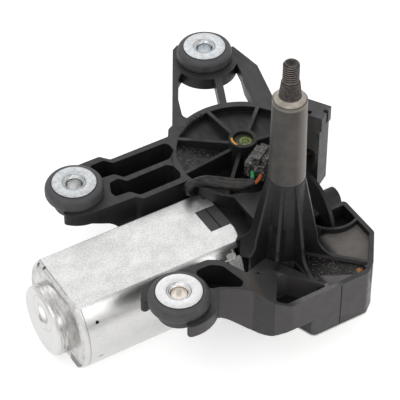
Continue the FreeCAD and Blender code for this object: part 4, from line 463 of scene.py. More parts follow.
def can_material():
    recipe = Recipe("can_zinc")
    x, y, z = recipe.axes()
    spangle = recipe.noise(0.9, 5.0, 0.75)
    cloud = recipe.noise(9.0, 4.0, 0.6)
    flat_top = z.near(-14.3, 0.8, 0.5)
    light = (spangle * 0.75 + cloud * 0.35).step(0.36, 0.72)
    colour = recipe.mix(light, "#b4b4b3", "#dededd").under((1.0 - flat_top) * (0.5 + cloud * 0.3), "#d3d2d0")
    # Brushing and grime on the closed end and round the raised disc, painted shade on the nub's lower side,
    # the bent tab drawn in painted shade, and a painted highlight on the nub
    on_end = x.fall(-107.0, -106.4)
    on_disc = x.fall(-115.6, -115.0)
    brushed = recipe.noise(0.7, 4.0, 0.7, (1.0, 0.12, 0.12)).step(0.35, 0.7)
    grime = x.fall(-112.5, -106.2) * x.step(-115.8, -113.5) + on_end * x.step(-108.5, -107.3) * 0.6
    colour = colour.under(grime.capped() * brushed * 0.85, "#716d69")
    from_nub = distance(y, z, NUB)
    # The ring round the nub is grime, with painted shade on its lower side
    low_side = along(y, z, NUB, (0.5, 1.0)).fall(-3.4, 0.6)
    ringed = from_nub.near(4.6, 0.9, 0.8) * (brushed * 0.7 + low_side * 0.6)
    ringed = ringed + from_nub.near(9.5, 0.5, 0.5) * 0.3
    colour = colour.under(on_disc * (ringed * 0.8).capped(), "#8f8a84")
    # The bent tab is drawn as a dark patch of painted shade
    tab = on_end * z.fall(-50.6, -49.8) * y.near(21.5, 5.5, 0.4)
    colour = colour.under(tab * (0.7 + brushed * 0.3), "#4c4a48")
    # A painted highlight on the nub's upper side
    colour = colour.under(on_disc * from_nub.fall(2.6, 4.2) * (1.0 - low_side * 0.7), "#ffffff")
    # The drawn-in edge of the closed end and its nicks are painted dark as painted shade, and the seam is
    # drawn
    marked = x.near(-105.5, 0.2, 0.12) * z.step(-24.0, -20.0) * y.step(30.0, 33.0) * 0.55
    for place, inner, outer in NICKS:
        nick = distance(x, y, place).maths("POWER", 2.0)
        marked = marked + nick.fall(inner, outer) * z.step(-19.0, -17.0)
    seam = x.near(-103.9, 0.2, 0.1) * (1.0 - flat_top) * 0.6
    colour = colour.under(marked.capped(), "#5b5957").under(seam, "#6d6b67")
    # The drawn lip beside the open end was ground and is dull
    ground = x.step(-22.6, -22.0) * z.fall(-18.6, -18.0) * z.step(-32.0, -30.0) * y.fall(22.0, 24.0)
    colour = colour.under(ground, recipe.mix(spangle.step(0.35, 0.65), "#c4c3bf", "#f4f3ef"))
    pits = recipe.bump(spangle * 0.7 + recipe.cells(1.5) * 0.3, 0.07, Normal=rounded(recipe, 0.5))
    rough = 0.26 + flat_top * 0.12 + spangle * 0.1 + seam * 0.2 + ground * 0.3
    return recipe.finish(Base_Color=colour, Metallic=1.0 - ground, Roughness=rough,
                         Normal=recipe.bump(1.0 - seam, 0.2, Normal=pits))


dress(can_material(), "motor_can")

# %% [markdown]
# The spindle tube is passivated steel, warm dark grey, ground and speckled by handling. Of the inner parts,
# the steel ones are ground and oiled, the bushes are sintered bronze, and the windings are enamelled copper.
# One function covers all of these, because only colour, gloss and grain differ.
# %% Other metals
def metal(name, dark, light, rough, grain=(1.0, 1.0, 1.0), grain_size=1.2, depth=0.01):
    recipe = Recipe(name)
    streak = recipe.noise(grain_size, 4.0, 0.65, grain)
    return recipe.finish(Base_Color=recipe.mix(streak.step(0.3, 0.7), dark, light), Metallic=1.0,
                         Roughness=rough + streak * 0.12, Normal=recipe.bump(streak, depth))


def tube_material():
    recipe = Recipe("tube_steel")
    cloud = recipe.noise(7.0, 4.0, 0.6)
    colour = recipe.mix(cloud.step(0.3, 0.7), "#474442", "#53504d")
    colour = colour.under(recipe.noise(0.5, 2.0, 0.5).step(0.69, 0.74) * 0.6, "#8a837a")
    # One side is painted lighter as painted light, and the lip is lighter too
    side_x, side_y, _ = slopes(recipe)
    painted_light_side = (side_x * 0.857 - side_y * 0.515).step(0.35, 0.95)
    lip = recipe.axes()[2].step(86.4, 86.9)
    colour = colour.under(painted_light_side * 0.75, "#7d7772").under(lip * 0.5, "#8f8880")
    lathe_marks = recipe.noise(0.6, 2.0, 0.5, (0.1, 0.1, 1.0))
    return recipe.finish(Base_Color=colour, Metallic=0.75, Roughness=0.42 + cloud * 0.12,
                         Normal=recipe.bump(lathe_marks, 0.008))


ALONG_X = (0.08, 1.0, 1.0)
dress(tube_material(), "spindle_tube")
dress(metal("ground_steel", "#9a9a9a", "#b9b9b8", 0.25, ALONG_X),
      "armature_shaft wheel_axle crank_pin rocker_pin end_play_plug")
dress(metal("pressed_steel", "#8b8a88", "#a5a4a1", 0.35),
      "rocker_plate toothed_rod spindle_pinion axle_retaining_ring spindle_circlip")
dress(metal("cover_zinc", "#b5b4b1", "#d0cfcc", 0.3), "bottom_cover magnet_clips")
dress(metal("sintered_bronze", "#8a6a3e", "#a8834f", 0.45, grain_size=0.4),
      "lower_spindle_bush can_end_bearing middle_bearing worm_end_bearing rod_bush")
dress(metal("laminated_steel", "#4f4e4c", "#6a6967", 0.4, (3.0, 0.1, 0.1), 0.5, 0.03), "armature_core")
dress(metal("enamelled_copper", "#8e4a24", "#b8683a", 0.3, (0.2, 1.0, 1.0), 0.6, 0.05),
      "armature_windings commutator choke_coils")
dress(metal("contact_brass", "#a8884a", "#c4a560", 0.28),
      "park_contact_ring park_contact_fingers connector_pins")
dress(metal("spring_wire", "#8a8a88", "#a4a4a2", 0.3), "brush_springs")
print("metals dressed")

# %% [markdown]
# The bush at the tube's top and the worm wheel are pale engineering plastics, which let a little light in
# and look waxy. The magnets are dark ceramic and the brushes are pressed carbon, both quite dull.
# %% Pale plastics, ceramic and carbon
def waxy(name, dark, light, rough):
    recipe = Recipe(name)
    colour = recipe.mix(recipe.noise(4.0, 4.0).step(0.3, 0.7), dark, light)
    return recipe.finish(Base_Color=colour, Roughness=rough + recipe.noise(1.0) * 0.1,
                         Subsurface_Weight=0.08, Subsurface_Scale=0.002,
                         Normal=recipe.bump(recipe.noise(0.5), 0.015))


dress(waxy("cream_bush", "#9b9389", "#bfb7ab", 0.3), "upper_spindle_bush")
dress(waxy("acetal_wheel", "#d9d5c8", "#e6e2d6", 0.3), "worm_wheel")
dress(black_part("ferrite", "#2b2b2e", "#3a3a3c", 0.6, 0.8), "magnet_front magnet_back")
dress(black_part("carbon", "#1f1f20", "#2c2c2c", 0.5), "carbon_brushes")

# %% [markdown]
# Many details are round: washers, sleeves, rubber mounts and the spindle. Each is a profile turned round an
# upright axis, as on a lathe. A lathe helper takes the profile as radius and height, and a function that may
# move each point, which is how a round part gets its notches or its thread.
# %% Lathe helper
def shade(mesh, degrees=32.0):
    """Smooth shading that keeps edges sharper than an angle."""
    mesh.shade_smooth()
    mesh.set_sharp_from_angle(angle=math.radians(degrees))


def add_work(name, work):
    """A new object with the faces of a bmesh, which is freed."""
    mesh = bpy.data.meshes.new(name)
    work.to_mesh(mesh)
    work.free()
    return add_object(name, mesh)


def clamp(value):
    """The value, kept between 0 and 1."""
    return min(1.0, max(0.0, value))


def lathe(name, profile, steps, centre=(0.0, 0.0), move=None):
    """Turns a profile (radius, height in mm). A profile that starts and ends on the axis is a solid,
    any other is closed into a ring."""
    solid = profile[0][0] == 0.0
    work = bmesh.new()
    rings = []
    for radius, height in profile:
        if solid and radius == 0.0:
            point = (centre[0] * MM, centre[1] * MM, height * MM)
            rings.append([work.verts.new(point)] * steps)
            continue
        ring = []
        for i in range(steps):
            angle = i * math.tau / steps
            r, h = move(radius, height, angle) if move else (radius, height)
            ring.append(work.verts.new(((centre[0] + r * math.cos(angle)) * MM,
                                        (centre[1] + r * math.sin(angle)) * MM, h * MM)))
        rings.append(ring)
    if not solid:
        rings.append(rings[0])
    for lower, upper in zip(rings, rings[1:]):
        for i in range(steps):
            j = (i + 1) % steps
            # On the axis two of the four corners are one
            work.faces.new(list(dict.fromkeys([lower[i], lower[j], upper[j], upper[i]])))
    bmesh.ops.recalc_face_normals(work, faces=work.faces)
    turned = add_work(name, work)
    shade(turned.data)
    return turned


def arc(centre, radius, start, end, count):
    """Points on an arc of a profile, from one angle to another in degrees."""
    turns = [math.radians(start + (end - start) * i / count) for i in range(count + 1)]
    return [(centre[0] + radius * math.cos(t), centre[1] + radius * math.sin(t)) for t in turns]


# %% [markdown]
# Seen close up, the big moulding differs from the CAD solid in a few places. The dome's pockets on the
# motor's side run right up to its rim, two cells right of the cone and the hub's recess have raised floors,
# one rib at the front is gone, and a groove runs down the front wall. Such changes are cut and joined with
# Boolean modifiers on a copy of the CAD mesh, whose triangles are merged first.
# %% Recut moulding
def prism(name, low, high):
    """A closed solid between two polygons of points in metres."""
    count = len(low)
    mesh = bpy.data.meshes.new(name)
    faces = [list(range(count))[::-1], list(range(count, 2 * count))]
    faces += [[i, (i + 1) % count, count + (i + 1) % count, count + i] for i in range(count)]
    mesh.from_pydata(low + high, [], faces)
    return mesh


def upright(name, outline, low, high):
    """An upright prism over an outline in millimetres."""
    ends = [[(x * MM, y * MM, z * MM) for x, y in outline] for z in (low, high)]
    area = sum(a[0] * b[1] - b[0] * a[1] for a, b in zip(outline, outline[1:] + outline[:1]))
    if area < 0.0:
        ends = [end[::-1] for end in ends]
    return add_object(name, prism(name, *ends))


def polar(radius, degrees):
    """A point round the hub."""
    turn = math.radians(degrees)
    return HUB[0] + radius * math.cos(turn), HUB[1] + radius * math.sin(turn)


def sector(first, last, low, inner=7.45, outer=34.7, rib=1.0):
    """The room between two ribs of the dome, given by their directions in degrees."""
    edge_in = math.degrees(math.asin(rib / inner))
    edge_out = math.degrees(math.asin(rib / outer))
    outline = [polar(outer, first + edge_out + (last - first - 2.0 * edge_out) * i / 24) for i in range(25)]
    outline += [polar(inner, last - edge_in - (last - first - 2.0 * edge_in) * i / 8) for i in range(9)]
    return upright(f"sector_{last}", outline, low, CUT_TOP_Z)


def applied(name, body):
    """A new object with the body's modifiers applied. The body is removed."""
    graph = bpy.context.evaluated_depsgraph_get()
    mesh = bpy.data.meshes.new_from_object(body.evaluated_get(graph))
    mesh.name = name
    bpy.data.objects.remove(body)
    return add_object(name, mesh)


def modify(body, kind, **settings):
    """Adds a modifier with its settings."""
    modifier = body.modifiers.new(kind.lower(), kind)
    for name, setting in settings.items():
        setattr(modifier, name, setting)
    return modifier


def combined(name, body, operation, tools):
    """The body after one Boolean with each tool. The tools are removed."""
    for tool in tools:
        modify(body, "BOOLEAN", operation=operation, solver="EXACT", object=tool)
    made = applied(name, body)
    for tool in tools:
        bpy.data.objects.remove(tool)
    return made


def even_shading(name, body):
    """Smooth shading in which the large flat faces stay flat beside their rounded edges."""
    shade(body.data, 14.0)
    modify(body, "WEIGHTED_NORMAL", mode="FACE_AREA", weight=100, keep_sharp=True)
    return applied(name, body)


def merged_copy(name, node):
    """A copy of a CAD node's mesh with its loose triangles joined."""
    work = bmesh.new()
    work.from_mesh(cad_nodes[node].data)
    bmesh.ops.remove_doubles(work, verts=work.verts, dist=1e-6)
    return add_work(name, work)


# Cuts end above the rim, and the new floors reach down into the old ones
CUT_TOP_Z, FLOOR_LOW_Z = -7.0, -18.0
FLOOR_RIGHT = [(9.0, -9.6), (29.8, -30.4), (31.5, -29.6), (42.8, -13.8), (42.8, -1.6), (35.0, -2.2),
               (28.7, -2.2), (24.5, 0.5), (21.2, 5.8), (10.0, 5.8)]
FLOOR_FRONT = [(0.3, -9.8), (4.2, -8.9), (7.4, -7.6), (29.8, -30.2), (30.6, -31.5), (27.5, -34.2),
               (24.0, -35.4), (0.3, -35.4)]
moulding = merged_copy("moulding_copy", "gearbox_housing")
cutters = [sector(90, 135, POCKET_Z), sector(135, 180, POCKET_Z), sector(180, 225, DEEP_POCKET_Z),
           upright("low_rib", [(2.6, -25.0), (26.6, -30.3), (26.6, -33.6), (2.6, -28.6)], -10.4, CUT_TOP_Z),
           upright("groove", [(9.9, -37.0), (10.5, -37.0), (10.5, -36.0), (9.9, -36.0)], -36.5, -9.0)]
moulding = combined("moulding_cut", moulding, "DIFFERENCE", cutters)
floors = [upright("floor_right", FLOOR_RIGHT, FLOOR_LOW_Z, PANEL_Z),
          upright("floor_front", FLOOR_FRONT, FLOOR_LOW_Z, FRONT_FLOOR_Z),
          upright("hub_floor", [polar(5.8, 6.0 * i) for i in range(60)], -5.2, HUB_FLOOR_Z)]
moulding = even_shading("gearbox_housing_recut", combined("moulding_joined", moulding, "UNION", floors))
moulding.data.materials.clear()
moulding.data.materials.append(housing_finish)
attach(moulding, "frame")
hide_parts("gearbox_housing")
print("moulding has", len(moulding.data.polygons), "faces")

# %% [markdown]
# The output spindle ends in a thread for the arm's nut. A thread is a ridge wound round a bar, so the height
# along the bar and the angle round it together say how far out the surface is. The rows of the mesh follow
# the bar closely enough for eight turns of a 1.25 mm pitch.
# %% Threaded spindle
THREAD_LOW, THREAD_TOP, THREAD_PITCH = 99.6, 109.8, 1.25
THREAD_CREST, THREAD_ROOT = 4.0, 3.32
THREAD_ROWS = 110
KNURL_LOW, KNURL_TOP = 90.8, 99.2
CIRCLIP_TOP = -50.2
SPINDLE_R = 5.4


def thread_radius(height, angle):
    """Radius of a threaded bar, with the run-out at its lower end."""
    turn = (height / THREAD_PITCH - angle / math.tau) % 1.0
    ridge = clamp((1.0 - abs(2.0 * turn - 1.0)) * 1.35 - 0.12)
    depth = (THREAD_CREST - THREAD_ROOT) * (1.0 - ridge)
    return THREAD_CREST - depth * clamp((height - THREAD_LOW) / 0.8)


def spindle_move(radius, height, angle):
    """Cuts the thread, and tapers it at its upper end."""
    if THREAD_LOW <= height <= THREAD_TOP - 0.05 and radius > 3.0:
        end = THREAD_CREST - max(0.0, height - (THREAD_TOP - 0.9)) * 0.95
        return min(thread_radius(height, angle), end), height
    return radius, height


profile = [(0.0, -51.6), (4.2, -51.6), (4.5, -51.3), (4.5, CIRCLIP_TOP - 0.8), (3.9, CIRCLIP_TOP - 0.8),
           (3.9, CIRCLIP_TOP), (4.5, CIRCLIP_TOP), (4.5, -42.6), (SPINDLE_R, -42.6), (SPINDLE_R, 86.0),
           (SPINDLE_R, KNURL_LOW - 0.3), (5.12, KNURL_LOW), (4.2, KNURL_TOP), (3.9, KNURL_TOP + 0.05),
           (3.45, KNURL_TOP + 0.3)]
profile += [(THREAD_CREST, THREAD_LOW + (THREAD_TOP - 0.05 - THREAD_LOW) * i / THREAD_ROWS)
            for i in range(THREAD_ROWS + 1)]
profile += [(2.6, THREAD_TOP - 0.02), (2.2, THREAD_TOP - 0.35), (0.0, THREAD_TOP - 0.5)]
spindle = lathe("output_spindle_threaded", profile, 72, move=spindle_move)
print("spindle has", len(spindle.data.polygons), "faces")

# %% [markdown]
# The taper below the thread carries straight knurls that bite into the wiper arm. They are forty copies of
# one small ridge, each turned by the same step, which is a job for Geometry Nodes: the tree makes the
# points, turns a ridge at each of them, makes the copies real and sets their material.
# %% Knurl with Geometry Nodes
def ridge_mesh():
    """A ridge with a blunt crest, from the foot of the taper to its top."""
    ends = []
    for foot, crest, half, blunt, low, high in (
            (5.0, SPINDLE_R - 0.02, 0.36, 0.06, KNURL_LOW + 0.1, KNURL_LOW + 0.4),
            (4.08, 4.46, 0.31, 0.05, KNURL_TOP - 0.1, KNURL_TOP - 0.3)):
        corners = ((foot, -half, low), (crest, -blunt, high), (crest, blunt, high), (foot, half, low))
        ends.append([tuple(c * MM for c in corner) for corner in corners])
    return prism("knurl_ridge", *ends)


class GeometryTree(Graph):
    """A Geometry Nodes tree with named inputs, one of them a material called Finish."""

    def __init__(self, name, inputs):
        super().__init__(bpy.data.node_groups.new(name, "GeometryNodeTree"))
        for way in ("INPUT", "OUTPUT"):
            self.tree.interface.new_socket("Geometry", in_out=way, socket_type="NodeSocketGeometry")
        self.identifiers = {}
        for label, kind, value in inputs + [("Finish", "Material", None)]:
            made = self.tree.interface.new_socket(label, in_out="INPUT", socket_type=f"NodeSocket{kind}")
            if value:
                made.default_value = value
            self.identifiers[label] = made.identifier
        start = self.tree.nodes.new("NodeGroupInput").outputs
        self.inputs = {label: Socket(self, start[label]) for label in ("Geometry", *self.identifiers)}

    def join(self, *parts):
        """Several meshes as one."""
        joined = self.node("GeometryNodeJoinGeometry")
        for part in parts:
            self.link(part, joined.link.node.inputs[0])
        return joined

    def end(self, **values):
        """Ends the tree with copies of an instance on points, made real and given the finish."""
        copies = self.node("GeometryNodeInstanceOnPoints", values)
        real = self.node("GeometryNodeRealizeInstances", {"Geometry": copies})
        result = self.node("GeometryNodeSetMaterial", {"Geometry": real, "Material": self.inputs["Finish"]})
        self.link(result, self.tree.nodes.new("NodeGroupOutput").inputs[0])
        return self


def baked(name, host, graph, values):
    """Runs a tree on a host object and returns the result as a plain mesh object."""
    modifier = modify(host, "NODES", node_group=graph.tree)
    for label, value in values.items():
        modifier[graph.identifiers[label]] = value
    return applied(name, host)


def ring_of_copies_tree():
    """Copies of one object turned round the Z axis."""
    made = GeometryTree("ring_of_copies", [("Copies", "Int", 40), ("Piece", "Object", None)])
    _, count, piece, _ = made.inputs.values()
    angle = made.node("ShaderNodeCombineXYZ", {"Z": made.node("GeometryNodeInputIndex") * math.tau / count})
    return made.end(Points=made.node("GeometryNodePoints", {"Count": count}), Rotation=angle,
                    Instance=made.node("GeometryNodeObjectInfo", {"Object": piece}, "Geometry"))


def spindle_material():
    recipe = Recipe("spindle_steel")
    wear = recipe.noise(1.6, 5.0, 0.7).step(0.4, 0.68)
    # The thread's grooves are painted dark as painted shade, and its crests are painted bright as painted
    # highlights
    x, y, z = recipe.axes()
    crests = recipe.mix(distance(x, y, (0.0, 0.0)).step(3.5, 3.98), "#0b0a0a", "#6e6864")
    threaded = z.step(99.5, 99.9) * z.fall(109.3, 109.6)
    colour = recipe.mix(wear, "#403c3a", "#645f5a").under(threaded * 0.9, crests)
    return recipe.finish(Base_Color=colour, Metallic=0.85, Roughness=0.34 + wear * 0.16,
                         Normal=recipe.bump(recipe.noise(0.5), 0.02))


spindle_finish = spindle_material()
spindle.data.materials.append(spindle_finish)
ridge = add_object("knurl_ridge", ridge_mesh())
knurl = baked("spindle_knurl", add_object("knurl_host", bpy.data.meshes.new("knurl_host")),
              ring_of_copies_tree(), {"Piece": ridge, "Finish": spindle_finish})
bpy.data.objects.remove(ridge)
for piece in (spindle, knurl):
    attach(piece, "spindle")
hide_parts("output_spindle")
print("knurl has", len(knurl.data.polygons), "faces")

# %% [markdown]
# Each mount is a zinc-plated washer, a steel sleeve whose end is staked over it, and a rubber grommet. The
# staking leaves a cone round the hole with a few punch marks, and the washer shows fine rings from turning.
# The hole's bore and the inner edge of its cone are painted bright as a painted reflection. The marks are a
# function of the angle, given to the lathe.
# %% Washers and staked sleeves
MOUNTS = {"back": (42.6, 147.0), "left": (-70.6, 87.4), "front": (-63.8, -6.0)}
MOUNT_STEPS = 96


def zinc_rings(name, centre, dark, light, bright):
    """Zinc with turning rings round a centre, and a bore painted bright as a painted reflection."""
    recipe = Recipe(name)
    x, y, _ = recipe.axes()
    reach = distance(x, y, centre)
    waves = (reach * 9.0 + recipe.noise(3.0) * 2.0).maths("SINE") * 0.5 + 0.5
    cloud = recipe.noise(2.4, 5.0, 0.7)
    colour = recipe.mix((cloud * 0.8 + waves * 0.2).step(0.32, 0.68), dark, light)
    stain = recipe.noise(1.0, 3.0, 0.7).step(0.66, 0.74)
    # The bore is painted bright as a painted reflection
    bore = reach.fall(4.25, 4.6)
    colour = colour.under(stain * 0.5, "#8a8b8b").under(bore, bright)
    rough = 0.3 + waves * 0.06 + cloud * 0.14 - bore * 0.2
    return recipe.finish(Base_Color=colour, Metallic=1.0, Roughness=rough,
                         Normal=recipe.bump(waves * 0.5 + cloud * 0.5, 0.02))


def staking(radius, height, angle):
    """Four punch marks that press the sleeve's end down."""
    mark = max(0.0, math.cos(4.0 * angle + 0.6)) ** 6
    inside = clamp(radius - 4.3) * (1.0 if height > -1.3 else 0.0)
    return radius, height - 0.35 * mark * inside


# The dark and light colour of each mount's zinc, partly its own tone and partly painted light for how each
# washer catches the lamps, and the bright painted reflection colour of its bore
ZINC = {"back": ("#a2a5a7", "#cfd1d3", "#dfe3e6"), "left": ("#9a9da0", "#c9cccd", "#dfdfdf"),
        "front": ("#c3c3c3", "#dddddd", "#f6f0ea")}
WASHER = [(5.95, -1.45), (11.2, -1.5), (11.5, -1.25), (11.5, -0.3), (11.35, -0.08), (11.1, 0.0), (9.0, -0.02),
          (6.6, 0.0), (6.2, -0.1), (5.95, -0.35)]
SLEEVE = [(4.05, -16.4), (9.3, -16.4), (9.5, -16.2), (9.5, -15.4), (9.3, -15.2), (5.2, -15.2), (5.2, -1.6),
          (5.85, -0.75), (5.85, -0.25), (5.6, -0.12), (5.2, -0.25), (4.75, -0.7), (4.35, -1.15), (4.1, -1.7),
          (4.05, -2.4)]
for which, place in MOUNTS.items():
    finish = zinc_rings(f"zinc_{which}", place, *ZINC[which])
    washer = lathe(f"washer_{which}_turned", WASHER, MOUNT_STEPS, place)
    sleeve = lathe(f"sleeve_{which}_staked", SLEEVE, MOUNT_STEPS, place, staking)
    for piece, node in ((washer, f"mount_washer_{which}"), (sleeve, f"spacer_sleeve_{which}")):
        piece.data.materials.append(finish)
        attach(piece, "frame")
        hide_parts(node)

# %% [markdown]
# The grommets are moulded rubber. A lip holds the washer, the fat bead below it takes the load, and a
# parting line of the mould runs round the bead. Rubber bulges a little unevenly when it is pressed, so the
# radius swells and shrinks slowly with the angle.
# %% Rubber grommets
def rubber_material():
    recipe = Recipe("grommet_rubber")
    bloom = recipe.noise(5.0, 4.0, 0.65).step(0.35, 0.7)
    # Upward faces are painted lighter as painted light
    colour = recipe.mix(bloom, "#38383a", "#48484a").under(slope_up(recipe) * 0.3, "#505052")
    return recipe.finish(Base_Color=colour, Roughness=0.5 + bloom * 0.12,
                         Normal=recipe.bump(recipe.noise(0.45, 3.0, 0.6), 0.05))


def squeezed(radius, height, angle):
    """The uneven bulge of the bead."""
    swell = 0.1 * math.sin(2.0 * angle + 0.7) + 0.06 * math.sin(5.0 * angle)
    return (radius + swell - 0.12 if radius > 12.5 else radius), height


rubber = rubber_material()
bead = [(5.35, -1.65), (11.7, -1.65), (11.7, -0.75), (11.9, -0.55), (12.3, -0.52)]
bead += arc((12.2, -3.7), 3.1, 88.0, 8.0, 8)
bead += [(15.36, -5.2), (15.2, -5.35), (15.34, -5.5), (15.3, -6.6), (15.0, -7.4), (14.4, -7.85), (13.4, -7.9),
         (11.3, -7.9), (10.95, -8.2), (10.95, -14.9), (10.7, -15.1), (5.35, -15.1)]
for which, place in MOUNTS.items():
    grommet = lathe(f"grommet_{which}_rubber", bead, MOUNT_STEPS, place, squeezed)
    grommet.data.materials.append(rubber)
    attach(grommet, "frame")
    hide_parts(f"grommet_{which}")
dress(rubber, "spindle_seal_ring cover_gasket")
print("three mounts made")

# %% [markdown]
# The bottom cover is held by pan-head screws with a cross recess. One head is enough: a tree puts a copy at
# every point of a small mesh that lists the screws' places. The recess is cut by two crossed bars, and the
# shank goes up into its boss.
# %% Cover screws with Geometry Nodes
SCREWS = [(1.0, -29.5), (36.5, -20.5), (40.6, 24.0), polar(34.4, 60.0), polar(34.4, 125.0), (-8.0, -17.5)]
COVER_LOW, HEAD_HEIGHT = -37.4, 1.8


def screw_tree():
    """A pan-head screw with a cross recess at every point of the host."""
    made = GeometryTree("screws_at_points", [
        ("Head radius", "Float", 0.0028), ("Head height", "Float", HEAD_HEIGHT * MM),
        ("Shank radius", "Float", 0.0017), ("Shank length", "Float", 0.0094), ("Recess", "Float", 0.0007)])
    points, radius, height, shank_radius, shank_length, recess, _ = made.inputs.values()
    head = made.node("GeometryNodeMeshCone", {"Vertices": 40, "Radius Top": radius, "Radius Bottom": 0.0020,
                                              "Depth": height})
    bars = []
    for wide, deep in ((radius * 1.15, recess), (recess, radius * 1.15)):
        bar = made.node("ShaderNodeCombineXYZ", {"X": wide, "Y": deep, "Z": HEAD_HEIGHT * MM})
        bars.append(made.node("GeometryNodeMeshCube", {"Size": bar}))
    cross = made.node("GeometryNodeTransform", {"Geometry": made.join(*bars),
                                                "Translation": (0.0, 0.0, -0.0003)})
    cut = made.node("GeometryNodeMeshBoolean", {"Mesh 1": head, "Mesh 2": cross}, operation="DIFFERENCE")
    shank = made.node("GeometryNodeMeshCylinder", {"Vertices": 24, "Radius": shank_radius,
                                                   "Depth": shank_length})
    rise = made.node("ShaderNodeCombineXYZ", {"Z": shank_length * 0.5 + 0.0016})
    shank_up = made.node("GeometryNodeTransform", {"Geometry": shank, "Translation": rise})
    return made.end(Points=points, Instance=made.join(cut, shank_up))


places = bpy.data.meshes.new("screw_places")
places.from_pydata([(x * MM, y * MM, (COVER_LOW - HEAD_HEIGHT) * MM) for x, y in SCREWS], [], [])
screws = baked("cover_screws_cross", add_object("screw_places", places), screw_tree(),
               {"Finish": metal("screw_zinc", "#a9a8a4", "#c9c8c4", 0.28)})
shade(screws.data)
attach(screws, "frame")
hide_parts("cover_screws")
print("screws have", len(screws.data.polygons), "faces")

# %% [markdown]
# Two wires come out of the plug and run in a soft black sleeve that loops back into the housing. A sleeve
# follows one smooth line, so its route is a NURBS curve through the CAD model's points. The section is
# swept along that line: it is flatter than round, with soft ridges along its flat part.
# %% Sleeve and wires
SLEEVE_ROUTE = [
    (9.2, 42.2, -2.2), (4.6, 43.6, -3.4), (-0.6, 48.0, -4.2), (-6.4, 54.0, -4.6),
    (-12.6, 58.8, -4.6), (-20.3, 60.2, -4.8), (-20.3, 60.2, -11.4), (-14.1, 61.9, -11.4)]
GREEN_ROUTE = [(8.0, 42.9, -2.2), (10.4, 45.6, -1.7), (12.5, 49.6, -1.0)]
ORANGE_ROUTE = [(8.2, 41.6, -2.6), (12.2, 41.6, -2.0), (15.2, 45.2, -1.0)]
WIRE_R = 0.95
SWEEP_STEPS = 32


def smooth_line(route):
    """Points in metres along a NURBS curve whose control points are the route's."""
    data = bpy.data.curves.new("route", "CURVE")
    data.dimensions = "3D"
    line = data.splines.new("NURBS")
    line.points.add(len(route) - 1)
    for point, place in zip(line.points, route):
        point.co = (*(c * MM for c in place), 1.0)
    line.order_u = 3
    line.use_endpoint_u = True
    line.resolution_u = 12
    made = applied("route", add_object("route", data))
    points = [v.co.copy() for v in made.data.vertices]
    bpy.data.objects.remove(made)
    return points


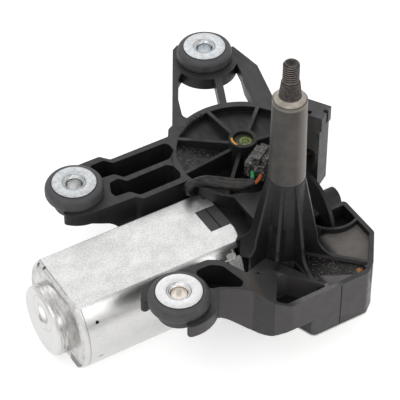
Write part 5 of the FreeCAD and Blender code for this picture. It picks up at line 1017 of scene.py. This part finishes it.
def swept(name, points, section=lambda share, angle: (WIRE_R, WIRE_R), roll=lambda share: 0.0):
    """A closed tube along points. The section gives half the width and height at a share of the length, and
    roll turns it about the line. Its UV map runs round the tube and along it, in millimetres."""
    work = bmesh.new()
    around = work.loops.layers.uv.new("UVMap")
    rings = []
    travel = [0.0]
    side = (points[1] - points[0]).cross(Vector((0.0, 0.0, 1.0))).normalized()
    for i, point in enumerate(points):
        share = i / (len(points) - 1)
        ahead = (points[min(i + 1, len(points) - 1)] - points[max(i - 1, 0)]).normalized()
        side = (side - ahead * side.dot(ahead)).normalized()
        top = side.cross(ahead)
        turn = roll(share)
        wide_way = side * math.cos(turn) + top * math.sin(turn)
        high_way = top * math.cos(turn) - side * math.sin(turn)
        if i:
            travel.append(travel[-1] + (point - points[i - 1]).length / MM)
        ring = []
        for k in range(SWEEP_STEPS):
            angle = k * math.tau / SWEEP_STEPS
            wide, high = section(share, angle)
            ring.append(work.verts.new(point + wide_way * (wide * MM * math.cos(angle))
                                       + high_way * (high * MM * math.sin(angle))))
        rings.append(ring)
    for i in range(len(rings) - 1):
        for k in range(SWEEP_STEPS):
            j = (k + 1) % SWEEP_STEPS
            face = work.faces.new([rings[i][k], rings[i][j], rings[i + 1][j], rings[i + 1][k]])
            for loop, turn, row in zip(face.loops, (k, k + 1, k + 1, k), (i, i, i + 1, i + 1)):
                loop[around].uv = (16.0 * turn / SWEEP_STEPS, travel[row])
    work.faces.new(rings[0][::-1])
    work.faces.new(rings[-1])
    bmesh.ops.recalc_face_normals(work, faces=work.faces)
    tube = add_work(name, work)
    shade(tube.data, 50.0)
    return tube


def sleeve_section(share, angle):
    """Round at both ends, pressed flat between them, with soft ridges."""
    flat = clamp(share / 0.12) * clamp((0.96 - share) / 0.1)
    wide = 2.35 + flat * (0.85 - 0.45 * clamp((share - 0.55) / 0.12))
    high = 2.2 - flat * 0.75
    ridge = 0.09 * flat * math.cos(6.0 * angle)
    return wide + ridge, high + ridge


def sleeve_roll(share):
    """The flat side leans towards the front on the upper run and lies level in the loop."""
    return math.radians(48.0) * clamp(share / 0.1) * clamp((0.66 - share) / 0.16)


def vinyl(name, dark, light, rough):
    """Soft shiny plastic, with fine streaks that follow the piece."""
    recipe = Recipe(name)
    surface = recipe.node("ShaderNodeUVMap")
    stretched = recipe.node("ShaderNodeMapping", {"Vector": surface, "Scale": (1.6, 0.12, 1.0)})
    streaks = recipe.node("ShaderNodeTexNoise", {"Vector": stretched, "Scale": 1.0, "Detail": 3.0})
    colour = recipe.mix(recipe.noise(3.0, 4.0).step(0.3, 0.7), dark, light)
    colour = colour.under(streaks.step(0.5, 0.7) * 0.4, light)
    return recipe.finish(Base_Color=colour, Roughness=rough + streaks * 0.2,
                         Specular_IOR_Level=0.3, Normal=recipe.bump(streaks, 0.22))


sleeve_line = smooth_line(SLEEVE_ROUTE)
for node, slot, dark, light, rough, shape in (
        ("wire_sleeve", "sleeve_vinyl", "#0c0b0b", "#2b2725", 0.16,
         (sleeve_line, sleeve_section, sleeve_roll)),
        ("wire_green", "green_vinyl", "#2f8f5b", "#45a870", 0.3, (smooth_line(GREEN_ROUTE),)),
        ("wire_orange", "orange_vinyl", "#a5562c", "#bf6c3d", 0.32, (smooth_line(ORANGE_ROUTE),))):
    piece = swept(f"{node}_soft", *shape)
    piece.data.materials.append(vinyl(slot, dark, light, rough))
    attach(piece, "frame")
    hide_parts(node)
length = sum((b - a).length for a, b in zip(sleeve_line, sleeve_line[1:]))
print(f"sleeve is {length / MM:.0f} mm long")
